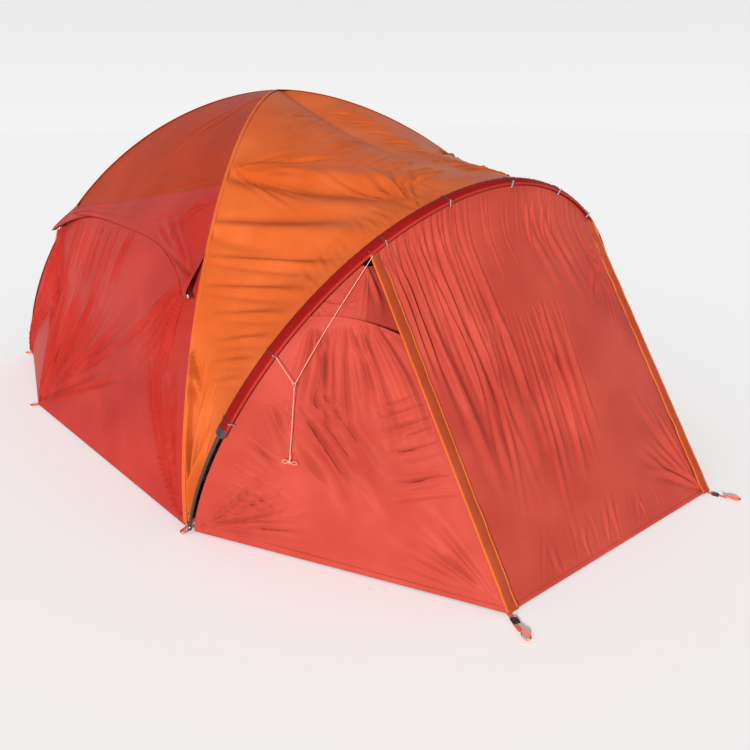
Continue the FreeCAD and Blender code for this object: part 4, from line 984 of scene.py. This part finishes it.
def flap_rows(shape):
    up, across = np.meshgrid(np.linspace(0, 1, shape[0]), np.linspace(0, 1, shape[1]), indexing="ij")
    rows = door_edge(mix(HEM, FLAP_TOP, up), mix(FLAP_LAP, FLAP_LAP - FLAP_WIDE, across))
    rng = np.random.default_rng(95)
    ripples = sum(rng.uniform(0.2, 1) * np.sin(up * rng.uniform(20, 90) + across * rng.uniform(-3, 3)
                                               + rng.uniform(0, 6))
                  for _ in range(9)) / 9
    crown = np.sin(np.pi * across) * 0.004
    return rows + door_out * (FLAP_LIFT + crown + 0.007 * ripples * (0.35 + across))[..., None]


flap_left = flap_rows((260, 16))
u = np.linspace(0.004, 0.996, 260)
for name, placed in (("left", flap_left), ("right", mirrored(flap_left)[:, ::-1])):
    piece = sheet_piece("storm_flap_" + name + "_cloth", placed, flap_orange, AT_HINGE)
    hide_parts("storm_flaps")
    for edge, share in (("inner", 0.10), ("outer", 0.90)):
        centre, normals = surface_at(placed, 0 * u + share, u)
        seam("storm_flap_" + name + "_" + edge + "_hem", centre, normals, orange, orange_thread, AT_HINGE,
             "fabric_orange", half=0.006, lift=0.0012, rows_at=(0.5,))

# ---------------------------------------------------------------- zips
# Nylon coil zips: two rows of moulded loops on a woven tape, closed by plated zinc sliders.
# The chains and sliders are the frame's own, with the coil's loops drawn in their finish.
COIL_PITCH = 0.0016


def banded_finish(name, dark, light, pitch, roughness, strength, direction="Z", **shader):
    """A finish with fine ridges a pitch apart along one of the object's axes."""
    made, tree, principled = material(name, Roughness=roughness, **shader)
    place = add(tree, "ShaderNodeTexCoord").outputs["Object"]
    wave = add(tree, "ShaderNodeTexWave", {"bands_direction": direction}, Vector=place,
               Scale=WAVE_PERIOD / pitch)
    tree.links.new(tinted(tree, wave.outputs[1], dark, light), principled.inputs["Base Color"])
    bump = add(tree, "ShaderNodeBump", Height=wave.outputs[1], Strength=strength, Distance=0.0004)
    tree.links.new(bump.outputs[0], principled.inputs["Normal"])
    return made


# Nylon monofilament coil, dyed to the cloth: low gleam, ribbed across.
coil = banded_finish("nylon coil red", "#7E1C1A", "#B23A33", COIL_PITCH, 0.45, 0.6)
# Zinc die casting with a dark nickel plate: bright but slightly rough.
nickel = plain_finish("nickel plated zinc", "#8F9093", "#B4B5B8", 0.3, 600, Metallic=1.0)
finish_nodes(coil, "porch_zip_chains", "inner_zip_chain")
finish_nodes(nickel, "zip_slider_lower_left", "zip_slider_lower_right", "zip_slider_upper_left",
             "zip_slider_upper_right", "inner_zip_slider")
finish_nodes(grey_nylon, "sleeve_toggles")

# ---------------------------------------------------------------- cord loops on the sleeve
# Each toggle sits in a loop of thin cord that goes round the sleeve and holds it to the pole.
LOOP_CORD, TOGGLE_TURNS = 0.0022, (26, 38.5, 62, 75, 90, 105, 118, 141.5, 154)


def tube_grid(path, radius, sides=10, closed=False):
    """A round tube's grid along a path, without twist."""
    path = np.asarray(path, float)
    if closed:
        path = np.concatenate([path, path[:1]])
    way = unit(np.gradient(path, axis=0))
    if closed:
        way[0] = way[-1] = unit(path[1] - path[-2])
    side = np.zeros_like(path)
    side[0] = unit(np.cross(way[0], [0.31, 0.2, 0.93]))
    for k in range(1, len(path)):
        side[k] = unit(side[k - 1] - way[k] * (side[k - 1] @ way[k]))
    if closed:
        turn = math.atan2(np.cross(side[-1], side[0]) @ way[0], side[-1] @ side[0])
        for k in range(len(path)):
            step = turn * k / (len(path) - 1)
            side[k] = side[k] * math.cos(step) + np.cross(way[k], side[k]) * math.sin(step)
    other = np.cross(way, side)
    angle = np.linspace(0, 2 * np.pi, sides + 1)[:, None, None]
    radius = np.broadcast_to(np.asarray(radius, float), (len(path),))[None, :, None]
    return path[None] + radius * (np.cos(angle) * side[None] + np.sin(angle) * other[None])


def grids_piece(name, grids, made, body, close=True):
    """One object from several grids, with points that meet joined."""
    vertices, faces, base, spread_out = [], [], 0, []
    for rows in grids:
        m, n = rows.shape[:2]
        index = base + np.arange(m * n).reshape(m, n)
        quads = np.stack([index[:-1, :-1], index[:-1, 1:], index[1:, 1:], index[1:, :-1]], -1)
        faces += quads.reshape(-1, 4).tolist()
        vertices.append(rows.reshape(-1, 3))
        across = np.concatenate([np.zeros((m, 1)),
                                 np.cumsum(np.linalg.norm(np.diff(rows, axis=1), axis=-1), 1)], 1)
        up = np.concatenate([np.zeros((1, n)),
                             np.cumsum(np.linalg.norm(np.diff(rows, axis=0), axis=-1), 0)], 0)
        spread_out.append(np.stack([across, up], -1).reshape(-1, 2))
        base += m * n
    piece = solid(name, np.concatenate(vertices), faces)
    flat = np.concatenate(spread_out)
    layer = piece.data.uv_layers.new(name="cut")
    layer.data.foreach_set("uv", flat[np.array(faces).reshape(-1)].astype(np.float32).ravel())
    piece.data.polygons.foreach_set("use_smooth", np.ones(len(faces), bool))
    if close:
        builder = bmesh.new()
        builder.from_mesh(piece.data)
        bmesh.ops.remove_doubles(builder, verts=builder.verts, dist=0.00002)
        builder.to_mesh(piece.data)
        builder.free()
    piece.data.materials.append(made)
    go_with(piece, body)
    return piece


# Braided polyester cord, reflective flecks left out: matt, with a fine spiral of threads.
dark_cord = plain_finish("braided polyester cord dark", "#2A2224", "#43383A", 0.7, 1600, 0.5)
loops = []
around = np.linspace(0, 2 * np.pi, 33)[:-1]
for turn in TOGGLE_TURNS:
    for shift in (-0.12, 0.12):
        at = turn + shift + 0 * around
        loops.append(tube_grid(over_arch(at, -np.sin(around) * (SLEEVE_DEEP + 0.0025),
                                         np.cos(around) * (SLEEVE_HALF + 0.0025)), LOOP_CORD / 2, 8, True))
grids_piece("toggle_loops", loops, dark_cord, "tent")

# ---------------------------------------------------------------- peg loops and ladder locks
# Flat woven webbing sewn to the corners, folded back into loops for the pegs. At the two
# front corners it runs through a moulded ladder lock that tightens it.
WEBBING, WEBBING_THICK = 0.020, 0.0016


def webbing_finish(name, dark, light):
    """Polyester webbing: a herringbone of thick yarns 1.5 mm apart, matt, with hard edges."""
    made, tree, principled = material(name, Roughness=0.7, Sheen_Weight=0.3)
    cut = add(tree, "ShaderNodeUVMap", {"uv_map": "cut"}).outputs[0]
    yarn = add(tree, "ShaderNodeTexWave", {"bands_direction": "DIAGONAL"}, Vector=cut,
               Scale=WAVE_PERIOD / 0.0015)
    tree.links.new(tinted(tree, yarn.outputs[1], dark, light), principled.inputs["Base Color"])
    bump = add(tree, "ShaderNodeBump", Height=yarn.outputs[1], Strength=0.5, Distance=0.0004)
    tree.links.new(bump.outputs[0], principled.inputs["Normal"])
    return made


red_webbing = webbing_finish("polyester webbing red", "#C4452F", "#E0694A")


def band(path, up, wide, thick=WEBBING_THICK):
    """A closed flat band along a path. Its width lies across the path and across up."""
    path, up = np.asarray(path, float), unit(np.broadcast_to(up, np.shape(path)))
    way = unit(np.gradient(path, axis=0))
    side = unit(np.cross(up, way))
    top = unit(np.cross(way, side))
    lines = [path + side * (wide / 2 * a) + top * (thick / 2 * b)
             for a, b in ((-1, -0.6), (-1, 0.6), (-0.93, 1), (0.93, 1), (1, 0.6), (1, -0.6), (0.93, -1),
                          (-0.93, -1),
                          (-1, -0.6))]
    return np.stack(lines)


def curve_through(points, count):
    """Evenly spaced points on a smooth curve through the given ones."""
    points = np.asarray(points, float)
    at = np.linspace(0, len(points) - 1, count)
    i = np.clip(at.astype(int), 0, len(points) - 2)
    t = (at - i)[:, None]
    before, after = points[np.maximum(i - 1, 0)], points[np.minimum(i + 2, len(points) - 1)]
    a, b = points[i], points[i + 1]
    return 0.5 * (2 * a + (b - before) * t + (2 * before - 5 * a + 4 * b - after) * t ** 2
                  + (3 * a - before - 3 * b + after) * t ** 3)


def peg_loop(place, direction, reach, loop, rise=0.004):
    """A strap along the ground from a seam, ending in a standing teardrop loop."""
    place, direction = np.asarray(place, float), unit(direction)
    side = np.array([-direction[1], direction[0], 0])
    neck = place + direction * (reach - loop)
    high = np.array([0, 0, 1.0])
    low = high * (WEBBING_THICK / 2 + 0.0004)
    strap = curve_through([place + low + high * rise,
                           mix(place, neck, 0.35) + low + high * rise * 0.4 + side * 0.002,
                           mix(place, neck, 0.7) + low - side * 0.002, neck + low], 24)
    half = loop * 0.28
    drop = curve_through([neck - direction * 0.012 + side * 0.0012,
                          neck + direction * loop * 0.15 + side * half * 0.35,
                          neck + direction * loop * 0.6 + side * half,
                          neck + direction * loop * 0.93 + side * half * 0.6,
                          neck + direction * loop * 1.0, neck + direction * loop * 0.93 - side * half * 0.6,
                          neck + direction * loop * 0.6 - side * half,
                          neck + direction * loop * 0.15 - side * half * 0.35,
                          neck - direction * 0.012 - side * 0.0012], 48)
    flat_way = unit(np.gradient(drop, axis=0))
    tilt = unit(np.cross(flat_way, high) * 1.0 + high * 0.55)
    drop = drop + high * (WEBBING * 0.30 + 0.003)
    return [band(strap, high, WEBBING), band(drop, tilt, WEBBING * 0.55)]


front_foot = np.array([-PORCH_FRONT / 2, PORCH_Y, 0])
strap_way = unit([-0.35, -1, 0])
pieces = {
    "front_peg_loop": peg_loop(front_foot + [0, 0.014, 0], strap_way, 0.165, 0.058),
    "dome_peg_loop_front": peg_loop([-1.44, -0.894, 0], [-1.4832, -1.5078, 0], 0.142, 0.052),
    "dome_peg_loop_back": peg_loop([-1.44, 2.063, 0], [-1.4832, 1.5078, 0], 0.142, 0.052),
    "side_peg_loop": peg_loop([-1.699, 1.0045, 0], [-1, 0, 0], 0.058, 0.044),
}
for name, grids in pieces.items():
    for side in ("left", "right"):
        placed = grids if side == "left" else [mirrored(g)[::-1] for g in grids]
        piece = grids_piece(name + "_" + side, placed, red_webbing, "tent")
        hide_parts("peg_loops")
piece = grids_piece("rear_peg_loop", peg_loop([0, 2.3085, 0], [0, 1, 0], 0.112, 0.050), red_webbing,
                    "tent")
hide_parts("peg_loops")
finish_nodes(black_nylon, "ladder_locks")

# ---------------------------------------------------------------- guy cords
# On each side two legs of thin braided cord come from the arch to a small ring that stands
# off the porch wall, and a tail hangs from the ring, its spare length tied in a bow.
GUY = 0.003
LEG_LOW = [(-1.1611, -1.2890, 0.8709), (-1.1480, -1.3270, 0.8240), (-1.1330, -1.3694, 0.7746)]
LEG_HIGH = [(-0.7499, -1.4080, 1.2625), (-0.8730, -1.3990, 1.1130), (-1.0000, -1.3860, 0.9580),
            (-1.1272, -1.3741, 0.7749)]
TAIL = [(-1.1327, -1.3745, 0.7625), (-1.1480, -1.3830, 0.6700), (-1.1690, -1.3950, 0.5600),
        (-1.1899, -1.4067, 0.4562)]
RING_PLACE, RING_WAY = np.array([-1.1314, -1.3738, 0.7694]), unit([-1, -0.5, 0.4])
BOW_PLACE = np.array([-1.1919, -1.4078, 0.4455])
BOW_ALONG, BOW_OUT = np.array([0.5924, -0.8042, -0.0473]), np.array([-0.7795, -0.5871, 0.2182])


def spiral_finish(name, dark, light, pitch):
    """Braided cord: two strands of threads cross in a spiral, a little lighter on top."""
    made, tree, principled = material(name, Roughness=0.65, Sheen_Weight=0.2)
    place = add(tree, "ShaderNodeTexCoord").outputs["Object"]
    one = add(tree, "ShaderNodeTexWave", {"bands_direction": "DIAGONAL"}, Vector=place,
              Scale=WAVE_PERIOD / pitch)
    turned = add(tree, "ShaderNodeMapping", Vector=place, Rotation=(0.0, 0.0, 1.57))
    two = add(tree, "ShaderNodeTexWave", {"bands_direction": "DIAGONAL"}, Vector=turned.outputs[0],
              Scale=WAVE_PERIOD / pitch)
    cross = add(tree, "ShaderNodeMath", {"operation": "MAXIMUM"}, i0=one.outputs[1], i1=two.outputs[1])
    tree.links.new(tinted(tree, cross.outputs[0], dark, light), principled.inputs["Base Color"])
    bump = add(tree, "ShaderNodeBump", Height=cross.outputs[0], Strength=0.5, Distance=0.0004)
    tree.links.new(bump.outputs[0], principled.inputs["Normal"])
    return made


braid = spiral_finish("braided polyester cord pale", "#A8604E", "#D9A08C", 0.002)


def cord_curve(name, points, made, body):
    """A cord's centreline as one smooth open curve with a round section."""
    data = bpy.data.curves.new(name, "CURVE")
    data.dimensions = "3D"
    data.bevel_depth = GUY / 2
    data.bevel_resolution = 4
    data.use_fill_caps = True
    spline = data.splines.new("NURBS")
    spline.points.add(len(points) - 1)
    for at, place in zip(spline.points, points):
        at.co = (*[float(c) for c in place], 1.0)
    spline.order_u = 3
    spline.use_endpoint_u = True
    spline.resolution_u = 12
    piece = bpy.data.objects.new(name, data)
    bpy.context.scene.collection.objects.link(piece)
    data.materials.append(made)
    go_with(piece, body)
    return piece


ring_side = unit(np.cross(RING_WAY, [0, 0, 1.0]))
ring_up = np.cross(ring_side, RING_WAY)
ring_turn = np.linspace(0, 2 * np.pi, 25)[:-1, None]
ring = RING_PLACE + (ring_side * np.cos(ring_turn) + ring_up * np.sin(ring_turn)) * 0.0058
knot_turn = np.linspace(0, 1, 60)[:, None]


def knot(place, axis, out, size):
    """A small tight knot: three turns of cord round a cord."""
    axis = unit(axis)
    a = unit(np.cross(axis, out))
    b = np.cross(axis, a)
    swirl = knot_turn * 2 * np.pi * 3
    return place + axis * (knot_turn - 0.5) * size * 2 + (a * np.cos(swirl) + b * np.sin(swirl)) * size * 0.62


BOW_UP = np.cross(BOW_ALONG, BOW_OUT)


def on_bow(along, up, out):
    return BOW_PLACE + BOW_ALONG * along + BOW_UP * up + BOW_OUT * out


bow_lines = []
for way, high in ((-1, 1.0), (1, 0.85)):
    bow_lines.append(curve_through([on_bow(0, 0, 0.001), on_bow(way * 0.014, 0.007 * high, 0.003),
                                    on_bow(way * 0.028, 0.0075 * high, 0.001),
                                    on_bow(way * 0.0325, 0.001, -0.001),
                                    on_bow(way * 0.026, -0.0055 * high, -0.001),
                                    on_bow(way * 0.012, -0.003, 0.002),
                                    on_bow(0, 0, 0.001)], 60))
bow_lines.append(curve_through([on_bow(0, 0, 0.001), on_bow(0.003, -0.010, 0.002),
                                on_bow(0.002, -0.020, 0.0),
                                on_bow(0.006, -0.030, -0.001)], 30))
bow_lines.append(curve_through([on_bow(0, 0, 0.001), on_bow(-0.002, -0.008, 0.003),
                                on_bow(0.005, -0.016, 0.002),
                                on_bow(0.004, -0.024, 0.0)], 30))
bow_lines.append(knot(on_bow(0, 0, 0.001), BOW_ALONG, BOW_OUT, 0.0045))
bow_lines.append(curve_through([on_bow(0, 0, 0.001), on_bow(0.0, 0.006, 0.001),
                                on_bow(0.0005, 0.0108, 0.0)], 12))

for side in ("left", "right"):
    flip = (lambda p: np.asarray(p)) if side == "left" else mirrored
    ring_piece = grids_piece("guy_ring_" + side, [tube_grid(flip(ring), 0.0015, 10, True)], nickel, "tent")
    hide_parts("guy_rings")
    knots = [tube_grid(flip(knot(np.array(LEG_LOW[-1]), np.subtract(LEG_LOW[0], LEG_LOW[-1]), RING_WAY,
                                 0.0035)), 0.0011),
             tube_grid(flip(knot(np.array(LEG_HIGH[-1]), np.subtract(LEG_HIGH[0], LEG_HIGH[-1]), RING_WAY,
                                 0.0035)), 0.0011)]
    knots_piece = grids_piece("guy_ring_knots_" + side, knots, braid, "tent", close=False)
    bow_piece = grids_piece("guy_bow_" + side + "_loops",
                            [tube_grid(flip(line), 0.0013, 8) for line in bow_lines],
                            braid, "tent", close=False)
    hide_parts("guy_bow_" + side)
    for name, points, lay, with_pieces in (("guy_leg_low_", LEG_LOW, "taut", [ring_piece, knots_piece]),
                                           ("guy_leg_high_", LEG_HIGH, "taut", []),
                                           ("guy_tail_", TAIL, "hanging", [bow_piece])):
        piece = cord_curve(name + side + "_cord", flip(points), braid, "tent")
        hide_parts(name + side)
        flip(points)[0]

# ---------------------------------------------------------------- floor
# A bathtub floor of heavier coated polyester whose edge turns up all round inside the fly.
TUB_HALF_WIDTH, TUB_HALF_LENGTH, TUB_HEIGHT = 1.418, 1.443, 0.150
# Thick coating fills the weave: a duller, darker cloth than the fly.
tub_cloth = taffeta("polyester oxford dark red", "#3E1014", "#50161A", "#FFB3A4", roughness=0.55)
along = np.linspace(0, 2 * np.pi, 361)
corner_x = TUB_HALF_WIDTH * np.sign(np.cos(along)) * np.abs(np.cos(along)) ** 0.06
corner_y = TUB_HALF_LENGTH * np.sign(np.sin(along)) * np.abs(np.sin(along)) ** 0.06
rim = point(corner_x, BODY_Y + corner_y, 0.003)
rng = np.random.default_rng(101)
slump = sum(rng.uniform(0.2, 1) * np.sin(along * rng.integers(8, 60) + rng.uniform(0, 6))
            for _ in range(8)) / 8
rows = []
for share in np.linspace(0, 1, 14):
    inward = unit(point(-rim[:, 0], BODY_Y - rim[:, 1], 0 * along))
    rows.append(rim + inward * (0.004 + 0.010 * slump * np.sin(np.pi * share))[:, None]
                + np.array([0, 0, 1.0]) * (TUB_HEIGHT - 0.003) * share)
ground_u, ground_v = np.meshgrid(np.linspace(-1, 1, 60), np.linspace(-1, 1, 60))
ground = point(ground_u * (TUB_HALF_WIDTH - 0.004), BODY_Y + ground_v * (TUB_HALF_LENGTH - 0.004),
               0.003 + 0.002 * np.sin(ground_u * 9 + 3 * ground_v)
               * (1 - ground_u ** 2) * (1 - ground_v ** 2))
piece = grids_piece("floor_tub_cloth", [np.stack(rows), ground], tub_cloth, "tent",
                    close=False)
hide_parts("floor_tub")

# ---------------------------------------------------------------- inner tent
# Thin breathable polyester hung by clips under the poles. Its front wall is flat, with a
# small door that unzips down one side.
INNER_LOW, INNER_TOP, INNER_PEAK, INNER_WALL_TOP = 0.150, 1.8124, 1.84, 1.5
INNER_HALF_WIDTH, INNER_HALF_LENGTH = 1.42, 1.445
DOOR_HALF, DOOR_LOW, DOOR_HIGH, DOOR_PLAY = 0.35, 0.215, 1.2, 0.008
# Uncoated taffeta: pale, matt and a little uneven.
inner_cloth = taffeta("polyester taffeta pale", "#CFC6B4", "#DCD5C6", "#FFFFFF", roughness=0.65)


def inner_share(z):
    return dome_share(np.asarray(z) * PEAK / INNER_PEAK)


def inner_side(along, z, out):
    share = inner_share(z)
    return point(-INNER_HALF_WIDTH * share - out, BODY_Y + along * INNER_HALF_LENGTH * share, z)


def inner_end(along, z, out):
    share = inner_share(z)
    return point(along * INNER_HALF_WIDTH * share, BODY_Y + INNER_HALF_LENGTH * share + out, z)


def inner_grid(frame_of, low, high, seed, shape=(60, 60)):
    rows = panel(frame_of, -0.996, 0.996, lambda a: low + 0 * a, lambda a: high + 0 * a, lambda a,
                 z: -0.004 + 0 * z, shape)
    made = folds(seed, 7, frame_of(-0.97, low, 0), [frame_of(-0.5, 1.0, 0), frame_of(0.4, 0.4, 0)], 0.006,
                 0.04)
    made += folds(seed + 1, 7, frame_of(0.97, low, 0), [frame_of(0.5, 1.0, 0), frame_of(-0.4, 0.4, 0)],
                  0.006, 0.04)
    return creased(rows, made, fade(shape, 0.05, 0.05, 0.05, 0.1))


inner_left = inner_grid(inner_side, INNER_LOW, INNER_TOP, 111)
inner_rear = inner_grid(inner_end, INNER_LOW, INNER_TOP, 113)[:, ::-1]
inner_roof = inner_grid(inner_end, INNER_WALL_TOP, INNER_TOP, 115, (30, 60))
inner_roof[..., 1] = 2 * BODY_Y - inner_roof[..., 1]
for name, rows, flat, area in (("inner_wall_left", inner_left, (2.9, 2.3), 4.1),
                               ("inner_wall_right", mirrored(inner_left)[:, ::-1], (2.9, 2.3), 4.1),
                               ("inner_wall_rear", inner_rear, (2.85, 2.3), 4.0),
                               ("inner_roof_front", inner_roof, (1.3, 0.85), 0.58)):
    piece = sheet_piece(name + "_cloth", rows, inner_cloth, "tent")
    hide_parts(name)


def on_front_wall(x, z):
    """A place on the flat front wall of the inner tent."""
    low = BODY_Y - INNER_HALF_LENGTH * inner_share(0.155)
    high = BODY_Y - INNER_HALF_LENGTH * inner_share(INNER_WALL_TOP)
    return point(x, mix(low, high, (z - 0.155) / (INNER_WALL_TOP - 0.155)), z)


def doorway(z, margin):
    """Half the doorway's width at a height: straight sides with a slanted top."""
    return np.minimum(DOOR_HALF, DOOR_HALF / 2 + (DOOR_HIGH - z) * 1.0) - margin


def wall_edge(z):
    return INNER_HALF_WIDTH * mix(inner_share(0.155), inner_share(INNER_WALL_TOP),
                                  (z - 0.155) / (INNER_WALL_TOP - 0.155))


def between(low, high, left_of, right_of, shape):
    z = np.linspace(low, high, shape[0])[:, None]
    share = np.linspace(0, 1, shape[1])[None, :]
    return on_front_wall(mix(left_of(z), right_of(z), share), z + 0 * share)


beside_door = between(DOOR_LOW, DOOR_HIGH, lambda z: -wall_edge(z), lambda z: -doorway(z, 0), (60, 30))
front_grids = [between(INNER_LOW + 0.005, DOOR_LOW, lambda z: -wall_edge(z), wall_edge, (6, 60)),
               beside_door,
               mirrored(beside_door)[:, ::-1],
               between(DOOR_HIGH, INNER_WALL_TOP, lambda z: -wall_edge(z), wall_edge, (20, 60))]
piece = grids_piece("inner_wall_front_cloth", front_grids, inner_cloth, "tent", close=False)
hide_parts("inner_wall_front")
door_grid = between(DOOR_LOW + DOOR_PLAY, DOOR_HIGH - DOOR_PLAY, lambda z: -doorway(z, DOOR_PLAY),
                    lambda z: doorway(z, DOOR_PLAY), (60, 50))
door_made = folds(121, 7, door_grid[-1, 25], [door_grid[5, 5], door_grid[5, 45]], 0.004, 0.03)
door_grid = creased(door_grid, door_made, fade((60, 50), 0.05, 0.12, 0.05, 0.05))
piece = sheet_piece("inner_door_cloth", door_grid, inner_cloth, "inner_tent_door")
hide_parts("inner_door")

# Straps of webbing from each clip down to the inner tent's edge.
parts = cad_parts["clip_straps"].data
places = np.zeros(len(parts.vertices) * 3, np.float32)
parts.vertices.foreach_get("co", places)
places = places.reshape(-1, 3).astype(float)
_, same = np.unique(np.round(places, 5), axis=0, return_inverse=True)
group = np.arange(same.max() + 1)
changed = True
polygons = [np.unique(same.reshape(-1)[list(p.vertices)]) for p in parts.polygons]
while changed:
    changed = False
    for members in polygons:
        lowest = group[members].min()
        if (group[members] != lowest).any():
            group[members] = lowest
            changed = True
strap_bands = []
for key in np.unique(group):
    corners = places[group[same.reshape(-1)] == key]
    centre = corners.mean(0)
    _, _, axes = np.linalg.svd(corners - centre)
    reach = (corners - centre) @ axes[0]
    ends = [centre + axes[0] * reach.min() * 0.98, centre + axes[0] * reach.max() * 0.98]
    strap_bands.append(band(curve_through([ends[0], mix(ends[0], ends[1], 0.5), ends[1]], 12), axes[2],
                            WEBBING * 0.95))
piece = grids_piece("clip_straps_webbing", strap_bands, red_webbing, "tent")
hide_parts("clip_straps")

# ---------------------------------------------------------------- peak patch
# A round patch of double cloth over the crossed poles, sewn down round its edge.
PATCH = 0.060
ring_share = np.linspace(0.03, 1, 14)[:, None]
ring_angle = np.linspace(0, 2 * np.pi, 73)[None, :]
patch_rows = point(PATCH * ring_share * np.cos(ring_angle),
                   BODY_Y + PATCH * ring_share * np.sin(ring_angle),
                   PEAK + 0.0032 - 0.0045 * ring_share ** 2 + 0 * ring_angle)
piece = grids_piece("peak_patch_cloth", [patch_rows], orange, "tent")
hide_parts("peak_patch")
edge = point(PATCH * 0.93 * np.cos(ring_angle[0]), BODY_Y + PATCH * 0.93 * np.sin(ring_angle[0]),
             PEAK - 0.0006)
thread("peak_patch_thread", [(edge, point(0 * edge[:, 0], 0, 1), unit(edge - [0, BODY_Y, edge[0, 2]]))],
       orange_thread, "tent")
